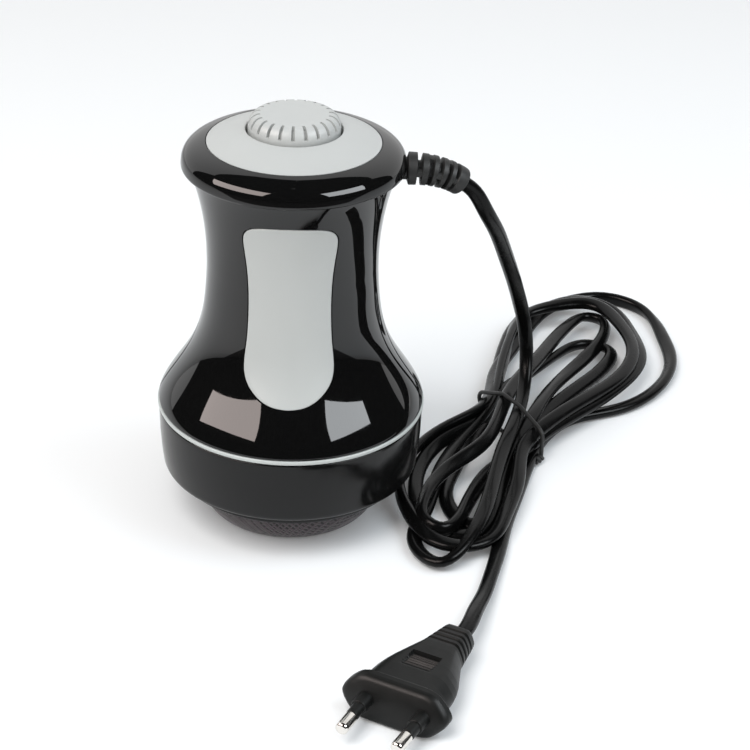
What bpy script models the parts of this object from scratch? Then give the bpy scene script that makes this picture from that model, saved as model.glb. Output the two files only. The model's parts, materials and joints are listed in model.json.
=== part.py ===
"""Hand-held electric body massager with a mains lead, standing on its massage head.

Units are metres, +Z is up, and the body's axis is the Z axis with the floor at z = 0.
The front panel faces -Y and the lead leaves towards +X.
"""

import math

import bmesh
import bpy
import numpy as np
from mathutils import Matrix, Vector

MM = 0.001
FULL_TURN = 2 * math.pi
HALF_TURN = math.pi
QUARTER_TURN = math.pi / 2

# General gaps and cutting values
SEAT_GAP = 0.3 * MM
RUN_GAP = 0.3 * MM
MERGE = 0.001 * MM
OVERRUN = 1.0 * MM

# Facets of the turned pieces
LARGE_STEPS = 32
MEDIUM_STEPS = 16
SMALL_STEPS = 8

# Mesh cover: net and hoop
NET_BULGE = 4.4 * MM
NET_THICKNESS = 0.6 * MM
NET_FLARE = 2.3 * MM
NET_BELOW_HOOP = 0.7 * MM
NET_IN_HOOP = 4.4 * MM
HOOP_WALL = 2.2 * MM
HOOP_LIP = 2.6 * MM
HOOP_LIP_HEIGHT = 1.8 * MM
HOOP_HEIGHT = 5.9 * MM
COVER_TRAVEL = 30.0 * MM

# Skirt, trim ring and body, stacked one on the other
SKIRT_BOTTOM = 16.7 * MM
SKIRT_HEIGHT = 22.2 * MM
SKIRT_SET_BACK = 0.25 * MM
SKIRT_RIM_WIDTH = 5.6 * MM
SKIRT_WALL = 2.2 * MM
SKIRT_EDGE_SET_IN = 2.3 * MM
SKIRT_LIP = 2.0 * MM
DECK_THICKNESS = 2.2 * MM
DECK_HOLE_RADIUS = 14.0 * MM
TRIM_PROUD = 0.15 * MM
TRIM_WIDTH = 5.0 * MM
TRIM_HEIGHT = 1.5 * MM
FOOT_RADIUS = 44.15 * MM
WAIST_RADIUS = 27.7 * MM
WAIST_ABOVE_FOOT = 49.5 * MM
SHOULDER_RADIUS = 32.1 * MM
SHOULDER_ABOVE_WAIST = 29.7 * MM
BODY_WALL = 2.6 * MM
BAY_STEP = 1.0 * MM

# Collar, cap, insert and dial
COLLAR_HEIGHT = 3.0 * MM
COLLAR_FLARE = 2.5 * MM
COLLAR_WEB = 1.3 * MM
COLLAR_BAND = 4.2 * MM
NECK_SET_IN = 5.6 * MM
NECK_WALL = 1.9 * MM
NECK_DEPTH = 5.8 * MM
FLANGE_WIDTH = 1.5 * MM
FLANGE_HEIGHT = 2.5 * MM
SHELF_SCREW_EDGE = 3.3 * MM
SHELF_THICKNESS = 2.1 * MM
CAP_OVERHANG = 0.4 * MM
CAP_BELLY = 0.55 * MM
CAP_BAND = 8.05 * MM
CAP_HEIGHT = 7.7 * MM
CAP_WALL = 2.4 * MM
INSERT_THICKNESS = 1.8 * MM
INSERT_CROWN = 4.0 * MM
DIAL_RADIUS = 15.5 * MM
DIAL_TOP_RADIUS = 11.0 * MM
DIAL_HEIGHT = 11.3 * MM
DIAL_WALL = 2.1 * MM
DIAL_GROOVE_PITCH = 4.43 * MM
DIAL_GROOVE_DEPTH = 0.7 * MM
DIAL_GAP = 0.85 * MM
WELL_DEPTH = 8.6 * MM
WELL_WALL = 1.5 * MM
WELL_FLOOR = 1.8 * MM

# Front and rear panels
PANEL_TOP_HALF_WIDTH = 15.3 * MM
PANEL_WAIST_HALF_WIDTH = 12.9 * MM
PANEL_FOOT_HALF_WIDTH = 14.6 * MM
PANEL_TOP_BELOW_SHOULDER = 5.9 * MM
PANEL_BOTTOM_ABOVE_FOOT = 13.7 * MM
PANEL_THICKNESS = 1.3 * MM
PANEL_PROUD = 0.15 * MM
PANEL_COLUMNS = 4

# Screws
SCREW_SHANK = 1.2 * MM
SCREW_HEAD_RADIUS = 2.4 * MM
SCREW_HEAD_HEIGHT = 1.6 * MM
BOSS_WALL = 1.3 * MM
LOWER_SCREW_ABOVE_FOOT = 25.0 * MM
UPPER_SCREW_BELOW_SHOULDER = 12.7 * MM
SHELL_SCREW_SEAT = 6.0 * MM
SHELL_SCREW_GRIP = 8.0 * MM
SKIRT_SCREW_FROM_RIB = 3.5 * MM
SKIRT_SCREW_GRIP = 7.0 * MM
CAP_SCREW_GRIP = 5.0 * MM
CAP_BOSS_CLEAR = 0.65 * MM
CAP_SCREWS = 3

# Motor and its mount
MOTOR_TO_SKIN = 9.95 * MM
MOTOR_LENGTH = 46.0 * MM
MOTOR_CAN_WALL = 1.5 * MM
MOTOR_BOSS_RADIUS = 6.0 * MM
MOTOR_BOSS_HEIGHT = 2.2 * MM
MOTOR_END_HEIGHT = 3.4 * MM
MOTOR_SCREW_OFFSET = 10.0 * MM
MOTOR_SCREW_GRIP = 3.0 * MM
MAGNET_THICKNESS = 3.2 * MM
MAGNET_SWEEP_SHARE = 0.78
MAGNET_BELOW_END = 9.0 * MM
MAGNET_ABOVE_FACE = 7.0 * MM
ARMATURE_GAP = 0.7 * MM
COMMUTATOR_RADIUS = 4.6 * MM
COMMUTATOR_HEIGHT = 5.0 * MM
MOUNT_SET_IN = 3.0 * MM
MOUNT_THICKNESS = 3.0 * MM
MOUNT_ABOVE_FOOT = 9.0 * MM
RIB_THICKNESS = 2.2 * MM
RIB_DEPTH = 4.0 * MM
SHAFT_RADIUS = 1.6 * MM

# Drive and massage head
THROW = 2.5 * MM
HUB_RADIUS = 8.0 * MM
HUB_HEIGHT = 12.0 * MM
HUB_BELOW_DECK = 8.7 * MM
HUB_FLOOR = 2.0 * MM
PIN_RADIUS = 3.5 * MM
BEARING_HEIGHT = 7.0 * MM
BEARING_RING = 1.5 * MM
BEARING_OUTER_RADIUS = 8.0 * MM
BEARING_CLEAR = 1.6 * MM
RETAINER_RADIUS = 4.4 * MM
RETAINER_HEIGHT = 1.4 * MM
RETAINER_GRIP = 5.0 * MM
COUNTERWEIGHT_RADIUS = 20.0 * MM
COUNTERWEIGHT_HEIGHT = 6.0 * MM
DRIVE_PLATE_SET_IN = 0.5 * MM
DRIVE_PLATE_THICKNESS = 2.2 * MM
DRIVE_HUB_WALL = 2.5 * MM
HEAD_CLEAR = 1.3 * MM
HEAD_WALL = 2.2 * MM
HEAD_FLOOR_BOTTOM = 5.0 * MM
HEAD_FLOOR = 3.0 * MM
HEAD_CLIPS = 3
CLIP_CIRCLE_SHARE = 0.585
CLIP_RADIUS = 2.5 * MM
CLIP_SOCKET_WALL = 1.7 * MM
CLIP_END_GAP = 1.0 * MM
NODULE_RADIUS = 3.6 * MM
NODULE_STEPS = 6
NODULE_TURN = math.radians(11)
NODULE_EDGE_CLEAR = 1.4 * MM
NODULE_RING_SPACING = 9.75 * MM
NODULE_SPACING = 13.6 * MM

# Electrics under the cap
BOARD_THICKNESS = 1.6 * MM
BOARD_FLAT_CLEAR = 2.6 * MM
POT_RADIUS = 8.5 * MM
POT_BUSH_RADIUS = 3.9 * MM
POT_BUSH_HEIGHT = 4.5 * MM
POT_SHAFT_RADIUS = 3.0 * MM
POT_SHAFT_FOOT = 1.5 * MM
NUT_RADIUS = 5.8 * MM
NUT_HEIGHT = 1.8 * MM
DIAL_HUB_RADIUS = 5.8 * MM
DIAL_BORE_DEPTH = 5.0 * MM
CAPACITOR_SIZE = (6.0 * MM, 13.0 * MM, 7.4 * MM)
HEAT_SINK_SIZE = (10.0 * MM, 5.0 * MM, 7.0 * MM)
HEAT_SINK_CLEAR = 3.5 * MM
HEAT_SINK_SLOTS = 3
CLAMP_SIZE = (5.0 * MM, 16.5 * MM)
CLAMP_FROM_SHELF_EDGE = 2.6 * MM
CLAMP_TOP_WALL = 1.0 * MM
CLAMP_SCREW_OFFSET = 5.6 * MM

# Mains lead, strain relief and plug
CORD_DIAMETER = 4.4 * MM
CORD_RADIUS = CORD_DIAMETER / 2
CORD_ABOVE_COLLAR_BOTTOM = 1.7 * MM
RELIEF_NECK_RADIUS = 3.6 * MM
RELIEF_START_FROM_CAP = 8.15 * MM
RELIEF_FLANGE_RADIUS = 5.4 * MM
RELIEF_TIP_RADIUS = 4.6 * MM
RELIEF_CORE_RADIUS = 3.1 * MM
RELIEF_LENGTH = 19.0 * MM
RELIEF_DROOP = math.radians(42)
RELIEF_LEAN = math.radians(25)
RELIEF_RIBS = 6
RELIEF_SIDES = 8
RELIEF_RIB_SHARE = 0.62
RELIEF_BEND_POWER = 1.3
RELIEF_LINE_PIECES = 24
INNER_LEAD_ROUTE = (
    (27.1 * MM, 0.0, 122.2 * MM),
    (23.0 * MM, 0.0, 122.2 * MM),
    (18.0 * MM, 0.0, 122.2 * MM),
    (14.5 * MM, 0.0, 122.0 * MM),
    (11.8 * MM, 0.0, 121.9 * MM),
)
LEAD_ROUTE = (
    (60.9 * MM, 5.8 * MM, 107.8 * MM),
    (65.3 * MM, 12.0 * MM, 98.0 * MM),
    (68.5 * MM, 20.0 * MM, 88.5 * MM),
    (71.6 * MM, 29.0 * MM, 78.0 * MM),
    (74.9 * MM, 39.0 * MM, 66.5 * MM),
    (77.6 * MM, 48.0 * MM, 56.2 * MM),
    (79.9 * MM, 55.4 * MM, 47.0 * MM),
    (81.7 * MM, 60.0 * MM, 39.2 * MM),
    (83.1 * MM, 61.5 * MM, 31.0 * MM),
    (83.6 * MM, 58.4 * MM, 21.7 * MM),
    (82.6 * MM, 51.0 * MM, 15.4 * MM),
)
TAIL_ROUTE = (
    (74.9 * MM, -29.0 * MM, 2.3 * MM),
    (71.7 * MM, -40.0 * MM, 2.4 * MM),
    (68.5 * MM, -50.5 * MM, 2.9 * MM),
    (65.5 * MM, -60.0 * MM, 4.0 * MM),
    (62.2 * MM, -69.0 * MM, 5.6 * MM),
    (58.6 * MM, -76.9 * MM, 6.7 * MM),
)
ROUTE_SPACING = 6.0 * MM
CORD_BEVEL_STEPS = 2
FORM_BEVEL_STEPS = 1

# Hank of the lead, folded in long loops drawn in at the waist
HANK_CENTRE = (79.5 * MM, 52.2 * MM)
HANK_DIRECTION = math.radians(71)
HANK_LAYER_LOOPS = 2.5
HANK_POINTS_PER_LOOP = 24
HANK_REACH_UP = 103.0 * MM
HANK_REACH_DOWN = 100.5 * MM
HANK_REACH_STEP_UP = 7.4 * MM
HANK_REACH_STEP_DOWN = 6.2 * MM
HANK_WAIST_HALF_WIDTH = 14.0 * MM
HANK_WAIST_STEP = 5.4 * MM
HANK_FOLD_UP = 33.0 * MM
HANK_FOLD_DOWN = 20.2 * MM
HANK_FOLD_STEP_UP = 7.2 * MM
HANK_FOLD_STEP_DOWN = 5.6 * MM
HANK_FOLD_WEIGHT = 2.4
HANK_SHIFT_UP = 7.0 * MM
HANK_SHIFT_DOWN = 1.1 * MM
HANK_SHIFT_REACH = 40.0 * MM
HANK_LAYER_PITCH = 4.95 * MM
HANK_FLOOR_GAP = 0.1 * MM
HANK_LIFT = 1.3 * MM
HANK_LIFT_REACH = 45.0 * MM
HANK_STRAY_LOOP = 9.0 * MM
HANK_STRAY_TURN = 4.885
HANK_LOW_LOOP = 6.0 * MM
HANK_LOW_TURN = 4.25
HANK_BUMP_WIDTH_TURNS = 0.09
HANK_START = (80.0 * MM, 33.4 * MM)
HANK_START_TURN = 0.035
HANK_END_TURN = 5.105
HANK_SETTLE_TURNS = 0.13
HANK_DROP_START_TURN = 0.12
HANK_DROP_TURNS = 0.17

# Twist tie round the waist of the hank
TIE_RADIUS = 0.5 * MM
TIE_GAP = 0.4 * MM
TIE_MIDDLE = -8.4 * MM
TIE_SLOPE = -0.79
TIE_CIRCLE_POINTS = 8
TIE_ENDS_APART = 1.5 * MM
TIE_END_LENGTH = 7.0 * MM
TIE_HIGHEST = 20.0 * MM
TIE_FLOOR_GAP = 0.1 * MM

# Plug with two round pins
PLUG_BASE = (35.9 * MM, -120.9 * MM)
PLUG_DIRECTION = math.radians(-117.3)
PLUG_WIDTH = 35.3 * MM
PLUG_THICKNESS = 13.7 * MM
PLUG_LENGTH = 41.0 * MM
PLUG_GROOVE_COUNT = 4
PLUG_GROOVE_DEPTH = 0.9 * MM
PLUG_LIFT = 0.05 * MM
PIN_SPACING = 18.6 * MM
PIN_LENGTH = 19.0 * MM
PLUG_PIN_RADIUS = 2.0 * MM
PIN_CORE_RADIUS = 1.2 * MM
PIN_SLEEVE_RADIUS = 1.95 * MM
PIN_SLEEVE_LENGTH = 9.6 * MM
PIN_TILT = math.radians(1.6)

# Outlines, given as shares of the sizes that they follow
# from the waist (0) to the foot (1): height share, radius share
LOWER_FLARE_SHARES = (
    (0.000, 0.000), (0.250, 0.037), (0.410, 0.120), (0.556, 0.254), (0.677, 0.439),
    (0.778, 0.605), (0.859, 0.779), (0.939, 0.941), (1.000, 1.000),
)
# from the waist (0) to the shoulder (1)
UPPER_FLARE_SHARES = (
    (0.000, 0.000), (0.180, 0.020), (0.360, 0.105), (0.520, 0.240), (0.660, 0.400),
    (0.790, 0.580), (0.900, 0.790), (1.000, 1.000),
)
# from the skirt's top (0) to its lower edge (1): height share, share of the edge's set-in
SKIRT_SHARES = (
    (0.00, 0.00), (0.45, 0.10), (0.72, 0.28), (0.88, 0.45), (0.96, 0.68), (1.00, 1.00),
)
# cap dome from its rim (0) to the insert (1): height share, and radius as a share
# of the way from the widest radius to the insert's seat
CAP_DOME_SHARES = (
    (0.20, 0.00), (0.45, 0.06), (0.66, 0.22), (0.82, 0.46), (0.93, 0.74), (1.00, 1.00),
)
# insert from its rim (0) to the dial's well (1): radius share, height share of its crown
INSERT_DOME_SHARES = ((0.00, 0.00), (0.35, 0.42), (0.70, 0.76), (1.00, 1.00))
# dial from its foot: share of its height, share of the way from its radius to its flat
# top's radius, and how far the grooves are cut in
DIAL_SHARES = (
    (0.00, 0.02, 0.0), (0.60, 0.00, 0.0), (0.78, 0.12, 1.0), (0.95, 0.48, 1.0),
    (1.00, 0.90, 0.7), (1.00, 1.35, 0.0),
)
NET_ARC_SHARES = (0.00, 0.25, 0.50, 0.72, 0.90, 1.00)
# plug from its face (0) to the cord (1): length, width and thickness shares
PLUG_SHARES = (
    (0.000, 0.86, 0.84), (0.030, 1.00, 1.00), (0.105, 1.00, 1.00), (0.110, 0.95, 0.97),
    (0.200, 0.93, 0.97), (0.300, 0.82, 0.95), (0.420, 0.68, 0.92), (0.540, 0.54, 0.88),
    (0.640, 0.45, 0.84), (0.700, 0.42, 0.80),
)
PLUG_RELIEF_START_SHARES = (0.42, 0.80)
PLUG_RELIEF_END_SHARES = (0.26, 0.56)
PLUG_RELIEF_LENGTH_SHARE = 0.30
# half of the plug's section, from one side to the other: width and thickness shares
PLUG_SECTION_SHARES = (
    (1.00, 0.00), (0.96, 0.34), (0.80, 0.72), (0.58, 0.98), (0.30, 1.00), (-0.30, 1.00),
    (-0.58, 0.98), (-0.80, 0.72), (-0.96, 0.34),
)
# half of a panel's outline from its top (0) to its bottom (1): height share, width share
PANEL_ROUND_SHARES = (
    (0.000, 0.82), (0.025, 0.94), (0.080, 1.00), (0.240, 1.00), (0.380, 1.00), (0.550, 1.00),
    (0.700, 1.00), (0.800, 0.96), (0.880, 0.80), (0.945, 0.54), (0.985, 0.28), (1.000, 0.12),
)

# Heights and sizes that follow from the values above
SKIRT_TOP = SKIRT_BOTTOM + SKIRT_HEIGHT
SKIRT_TOP_RADIUS = FOOT_RADIUS - SKIRT_SET_BACK
TRIM_RADIUS = FOOT_RADIUS + TRIM_PROUD
TRIM_BOTTOM = SKIRT_TOP + SEAT_GAP
TRIM_TOP = TRIM_BOTTOM + TRIM_HEIGHT
FOOT_HEIGHT = TRIM_TOP + SEAT_GAP
WAIST_HEIGHT = FOOT_HEIGHT + WAIST_ABOVE_FOOT
SHOULDER_HEIGHT = WAIST_HEIGHT + SHOULDER_ABOVE_WAIST
COLLAR_BOTTOM = SHOULDER_HEIGHT + SEAT_GAP
COLLAR_TOP = COLLAR_BOTTOM + COLLAR_HEIGHT
COLLAR_TOP_RADIUS = SHOULDER_RADIUS + COLLAR_FLARE
NECK_RADIUS = SHOULDER_RADIUS - NECK_SET_IN
CAP_BOTTOM = COLLAR_TOP + SEAT_GAP
CAP_TOP = CAP_BOTTOM + CAP_HEIGHT
CAP_RIM_RADIUS = COLLAR_TOP_RADIUS + CAP_OVERHANG
CAP_RADIUS = CAP_RIM_RADIUS + CAP_BELLY
INSERT_RADIUS = CAP_RADIUS - CAP_BAND
INSERT_RIM_TOP = CAP_TOP
WELL_RADIUS = DIAL_RADIUS + DIAL_GAP
INSERT_TOP = INSERT_RIM_TOP + INSERT_CROWN
WELL_FLOOR_BOTTOM = INSERT_TOP - WELL_DEPTH
WELL_FLOOR_TOP = WELL_FLOOR_BOTTOM + WELL_FLOOR
DIAL_BOTTOM = WELL_FLOOR_TOP + 2 * SEAT_GAP
DIAL_TOP = DIAL_BOTTOM + DIAL_HEIGHT
DIAL_GROOVES = round(FULL_TURN * DIAL_RADIUS / DIAL_GROOVE_PITCH)
SCREW_HOLE = SCREW_SHANK + SEAT_GAP
BOSS_RADIUS = SCREW_HOLE + BOSS_WALL
HEAD_CLEARANCE = SCREW_HEAD_RADIUS + SEAT_GAP
CAP_SCREW_CIRCLE = WELL_RADIUS + WELL_WALL + CAP_BOSS_CLEAR + BOSS_RADIUS
SHELF_RADIUS = CAP_SCREW_CIRCLE - SHELF_SCREW_EDGE
SHELF_BOTTOM = COLLAR_BOTTOM - NECK_DEPTH
SHELF_TOP = SHELF_BOTTOM + SHELF_THICKNESS
BOARD_BOTTOM = SHELF_TOP + SEAT_GAP
BOARD_TOP = BOARD_BOTTOM + BOARD_THICKNESS
BOARD_RADIUS = NECK_RADIUS - NECK_WALL - SEAT_GAP
POT_BOTTOM = BOARD_TOP + SEAT_GAP
POT_TOP = WELL_FLOOR_BOTTOM - SEAT_GAP
NUT_BOTTOM = WELL_FLOOR_TOP + SEAT_GAP
NUT_TOP = NUT_BOTTOM + NUT_HEIGHT
DIAL_HUB_BOTTOM = max(NUT_TOP, POT_TOP + POT_BUSH_HEIGHT) + 2 * SEAT_GAP
CLAMP_PLACE = SHELF_RADIUS + CLAMP_FROM_SHELF_EDGE
BOARD_FLAT = CLAMP_PLACE - CLAMP_SIZE[0] / 2 - BOARD_FLAT_CLEAR
CAPACITOR_PLACE = (
    -(CAP_SCREW_CIRCLE - BOSS_RADIUS - 2 * SEAT_GAP - CAPACITOR_SIZE[0] / 2), 0.0)
HEAT_SINK_PLACE = (0.0, POT_RADIUS + HEAT_SINK_CLEAR + HEAT_SINK_SIZE[1] / 2)
CORD_EXIT_HEIGHT = COLLAR_BOTTOM + CORD_ABOVE_COLLAR_BOTTOM
RELIEF_START = CAP_RADIUS - RELIEF_START_FROM_CAP
LOWER_SHELL_SCREW_HEIGHT = FOOT_HEIGHT + LOWER_SCREW_ABOVE_FOOT
UPPER_SHELL_SCREW_HEIGHT = SHOULDER_HEIGHT - UPPER_SCREW_BELOW_SHOULDER
MOUNT_BOTTOM = FOOT_HEIGHT + MOUNT_ABOVE_FOOT
MOUNT_TOP = MOUNT_BOTTOM + MOUNT_THICKNESS
MOTOR_BOTTOM = MOUNT_TOP + SEAT_GAP
MOTOR_TOP = MOTOR_BOTTOM + MOTOR_LENGTH
MOTOR_RADIUS = WAIST_RADIUS - MOTOR_TO_SKIN
MOTOR_BORE = MOTOR_RADIUS - MOTOR_CAN_WALL
MAGNET_INNER = MOTOR_BORE - 2 * SEAT_GAP - MAGNET_THICKNESS
MAGNET_BOTTOM = MOTOR_BOTTOM + MAGNET_ABOVE_FACE
MAGNET_HEIGHT = MOTOR_LENGTH - MAGNET_ABOVE_FACE - MAGNET_BELOW_END
ARMATURE_RADIUS = MAGNET_INNER - ARMATURE_GAP
SHAFT_BORE = SHAFT_RADIUS + SEAT_GAP
DECK_BOTTOM = SKIRT_TOP - DECK_THICKNESS
HUB_BOTTOM = DECK_BOTTOM - HUB_BELOW_DECK
HUB_TOP = HUB_BOTTOM + HUB_HEIGHT
BEARING_BOTTOM = HUB_BOTTOM - BEARING_CLEAR - BEARING_HEIGHT
BEARING_BORE = PIN_RADIUS + SEAT_GAP
DRIVE_PLATE_BOTTOM = BEARING_BOTTOM + 2 * SEAT_GAP
SKIRT_INNER_RADIUS = SKIRT_TOP_RADIUS - SKIRT_WALL
SKIRT_MOUTH_RADIUS = SKIRT_TOP_RADIUS - SKIRT_EDGE_SET_IN - SKIRT_RIM_WIDTH
HOOP_OUTER_RADIUS = SKIRT_MOUTH_RADIUS - SEAT_GAP
HOOP_INNER_RADIUS = HOOP_OUTER_RADIUS - HOOP_WALL
HOOP_LIP_TOP = SKIRT_BOTTOM - SEAT_GAP
HOOP_BOTTOM = HOOP_LIP_TOP - HOOP_LIP_HEIGHT
NET_TOP_RADIUS = HOOP_INNER_RADIUS - SEAT_GAP
NET_SIDE_RADIUS = NET_TOP_RADIUS - NET_FLARE
NET_FLAT_RADIUS = NET_SIDE_RADIUS - NET_BULGE
NET_TOP = HOOP_BOTTOM + NET_IN_HOOP
NET_BULGE_HEIGHT = HOOP_BOTTOM - NET_BELOW_HOOP - NET_THICKNESS - NET_FLARE
HEAD_RADIUS = NET_SIDE_RADIUS - NET_THICKNESS - THROW - HEAD_CLEAR
DRIVE_PLATE_RADIUS = HEAD_RADIUS - DRIVE_PLATE_SET_IN
CLIP_CIRCLE = HEAD_RADIUS * CLIP_CIRCLE_SHARE
NODULE_TIP = NET_THICKNESS + SEAT_GAP
SHELL_BOSS_X = MOTOR_RADIUS + BOSS_WALL + HEAD_CLEARANCE + BOSS_WALL
HANK_BOTTOM_HEIGHT = CORD_RADIUS + HANK_FLOOR_GAP


def body_radius(height):
    """The outer radius of the hourglass body at a height."""
    if height < WAIST_HEIGHT:
        share = (WAIST_HEIGHT - height) / WAIST_ABOVE_FOOT
        grown = np.interp(share, *zip(*LOWER_FLARE_SHARES))
        return WAIST_RADIUS + float(grown) * (FOOT_RADIUS - WAIST_RADIUS)
    share = (height - WAIST_HEIGHT) / SHOULDER_ABOVE_WAIST
    grown = np.interp(share, *zip(*UPPER_FLARE_SHARES))
    return WAIST_RADIUS + float(grown) * (SHOULDER_RADIUS - WAIST_RADIUS)


def inner_radius(height):
    return body_radius(height) - BODY_WALL


# Sizes that follow from the body's curve
MOUNT_RADIUS = inner_radius(MOUNT_BOTTOM) - MOUNT_SET_IN
RIB_INNER_RADIUS = MOUNT_RADIUS - RIB_DEPTH
SKIRT_SCREW_CIRCLE = RIB_INNER_RADIUS + SKIRT_SCREW_FROM_RIB


def clear_scene():
    for thing in list(bpy.data.objects):
        bpy.data.objects.remove(thing)


def material(name, colour, roughness, metallic=0.0):
    """The Principled material of one piece, made once for each name."""
    made = bpy.data.materials.get(name)
    if made is None:
        made = bpy.data.materials.new(name)
        made.use_nodes = True
        shader = made.node_tree.nodes["Principled BSDF"]
        shader.inputs["Base Color"].default_value = (*colour, 1.0)
        shader.inputs["Roughness"].default_value = roughness
        shader.inputs["Metallic"].default_value = metallic
        made.diffuse_color = (*colour, 1.0)
    return made


GLOSS_BLACK = ("gloss_black", (0.012, 0.012, 0.013), 0.08)
SATIN_BLACK = ("satin_black", (0.03, 0.03, 0.03), 0.42)
SOFT_GREY = ("soft_grey", (0.62, 0.64, 0.63), 0.45)
PANEL_GREY = ("panel_grey", (0.55, 0.58, 0.57), 0.4)
TRIM_GREY = ("trim_grey", (0.58, 0.60, 0.60), 0.35)
NET_BROWN = ("net_brown", (0.075, 0.055, 0.062), 0.8)
RUBBER_BLACK = ("rubber_black", (0.02, 0.02, 0.02), 0.6)
CORD_BLACK = ("cord_black", (0.015, 0.015, 0.015), 0.35)
PLUG_BLACK = ("plug_black", (0.022, 0.022, 0.022), 0.5)
NICKEL = ("nickel", (0.78, 0.76, 0.72), 0.18, 1.0)
STEEL = ("steel", (0.6, 0.6, 0.6), 0.35, 1.0)
ZINC = ("zinc", (0.66, 0.67, 0.68), 0.4, 1.0)
FERRITE = ("ferrite", (0.10, 0.10, 0.10), 0.7)
LAMINATION = ("lamination", (0.35, 0.27, 0.22), 0.5, 0.8)
INNER_PLASTIC = ("inner_plastic", (0.72, 0.72, 0.70), 0.5)
BOARD_GREEN = ("board_green", (0.05, 0.22, 0.09), 0.5)
CAPACITOR_YELLOW = ("capacitor_yellow", (0.75, 0.58, 0.08), 0.4)
POT_METAL = ("pot_metal", (0.55, 0.55, 0.52), 0.4, 0.9)
ALUMINIUM = ("aluminium", (0.75, 0.76, 0.77), 0.4, 1.0)
HEAD_WHITE = ("head_white", (0.70, 0.70, 0.68), 0.45)


def finished(name, mesh_maker, finish, smooth_angle=math.radians(35)):
    """An object from a filled bmesh, shaded smooth, with its own material."""
    bmesh.ops.remove_doubles(mesh_maker, verts=mesh_maker.verts, dist=MERGE)
    bmesh.ops.dissolve_degenerate(mesh_maker, edges=mesh_maker.edges, dist=MERGE)
    bmesh.ops.recalc_face_normals(mesh_maker, faces=mesh_maker.faces)
    mesh = bpy.data.meshes.new(name)
    mesh_maker.to_mesh(mesh)
    mesh_maker.free()
    mesh.shade_smooth()
    mesh.set_sharp_from_angle(angle=smooth_angle)
    mesh.materials.append(material(*finish))
    made = bpy.data.objects.new(name, mesh)
    bpy.context.scene.collection.objects.link(made)
    return made


def turned(name, outline, finish, steps=MEDIUM_STEPS, start=0.0, sweep=FULL_TURN):
    """A solid turned about Z from a closed outline of (radius, height) points."""
    maker = bmesh.new()
    whole = math.isclose(sweep, FULL_TURN)
    columns = steps if whole else steps + 1
    rings = []
    for column in range(columns):
        angle = start + sweep * column / steps
        ring = [
            maker.verts.new((radius * math.cos(angle), radius * math.sin(angle), height))
            for radius, height in outline
        ]
        rings.append(ring)
    count = len(outline)
    for column in range(steps):
        near = rings[column]
        far = rings[(column + 1) % columns]
        for index in range(count):
            after = (index + 1) % count
            maker.faces.new((near[index], near[after], far[after], far[index]))
    if not whole:
        maker.faces.new(rings[0])
        maker.faces.new(list(reversed(rings[-1])))
    return finished(name, maker, finish)


def pillar(name, radius, bottom, top, finish, steps=SMALL_STEPS, place=(0.0, 0.0)):
    """An upright round bar."""
    outline = ((0.0, bottom), (radius, bottom), (radius, top), (0.0, top))
    half_facet = HALF_TURN / steps
    made = turned(name, outline, finish, steps, half_facet)
    made.location = (place[0], place[1], 0.0)
    return made


def block(name, lowest, highest, finish):
    """A box between two corners."""
    maker = bmesh.new()
    bmesh.ops.create_cube(maker, size=1.0)
    size = Vector(highest) - Vector(lowest)
    middle = (Vector(highest) + Vector(lowest)) / 2
    for vert in maker.verts:
        vert.co = Vector((vert.co.x * size.x, vert.co.y * size.y, vert.co.z * size.z)) + middle
    return finished(name, maker, finish)


def helper(thing):
    """Hides a cutter or a joined shape from the result."""
    thing.hide_render = True
    thing.display_type = "WIRE"
    return thing


def combine(target, other, operation):
    modifier = target.modifiers.new(operation.lower() + "_" + other.name, "BOOLEAN")
    modifier.operation = operation
    modifier.solver = "EXACT"
    modifier.object = helper(other)
    return target


def cut(target, other):
    return combine(target, other, "DIFFERENCE")


def join(target, other):
    return combine(target, other, "UNION")


def trim_to(target, other):
    return combine(target, other, "INTERSECT")


def lofted(name, sections, finish):
    """A closed skin over rings of points that all have the same count."""
    maker = bmesh.new()
    rings = [[maker.verts.new(point) for point in section] for section in sections]
    count = len(rings[0])
    for near, far in zip(rings, rings[1:]):
        for index in range(count):
            after = (index + 1) % count
            maker.faces.new((near[index], near[after], far[after], far[index]))
    maker.faces.new(list(reversed(rings[0])))
    maker.faces.new(rings[-1])
    return finished(name, maker, finish)


def screw(name, place, direction, length, head_radius=SCREW_HEAD_RADIUS,
          head_height=SCREW_HEAD_HEIGHT):
    """A screw whose head's underside is at place and whose shank points along direction."""
    outline = (
        (0.0, -head_height), (head_radius * 0.8, -head_height), (head_radius, -head_height / 2),
        (head_radius, 0.0), (SCREW_SHANK, 0.0), (SCREW_SHANK, length), (0.0, length),
    )
    made = turned(name, outline, ZINC, SMALL_STEPS)
    made.location = place
    made.rotation_euler = Vector((0.0, 0.0, 1.0)).rotation_difference(Vector(direction)).to_euler()
    return made


def on_circle(radius, share, height=0.0):
    """A point at a share of a full turn round the Z axis."""
    angle = FULL_TURN * share
    return Vector((radius * math.cos(angle), radius * math.sin(angle), height))


def body_heights():
    """The heights of the body's outline, from the foot to the shoulder."""
    lower = [WAIST_HEIGHT - share * WAIST_ABOVE_FOOT for share, _ in LOWER_FLARE_SHARES]
    upper = [WAIST_HEIGHT + share * SHOULDER_ABOVE_WAIST for share, _ in UPPER_FLARE_SHARES]
    return list(reversed(lower)) + upper[1:]


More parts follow.
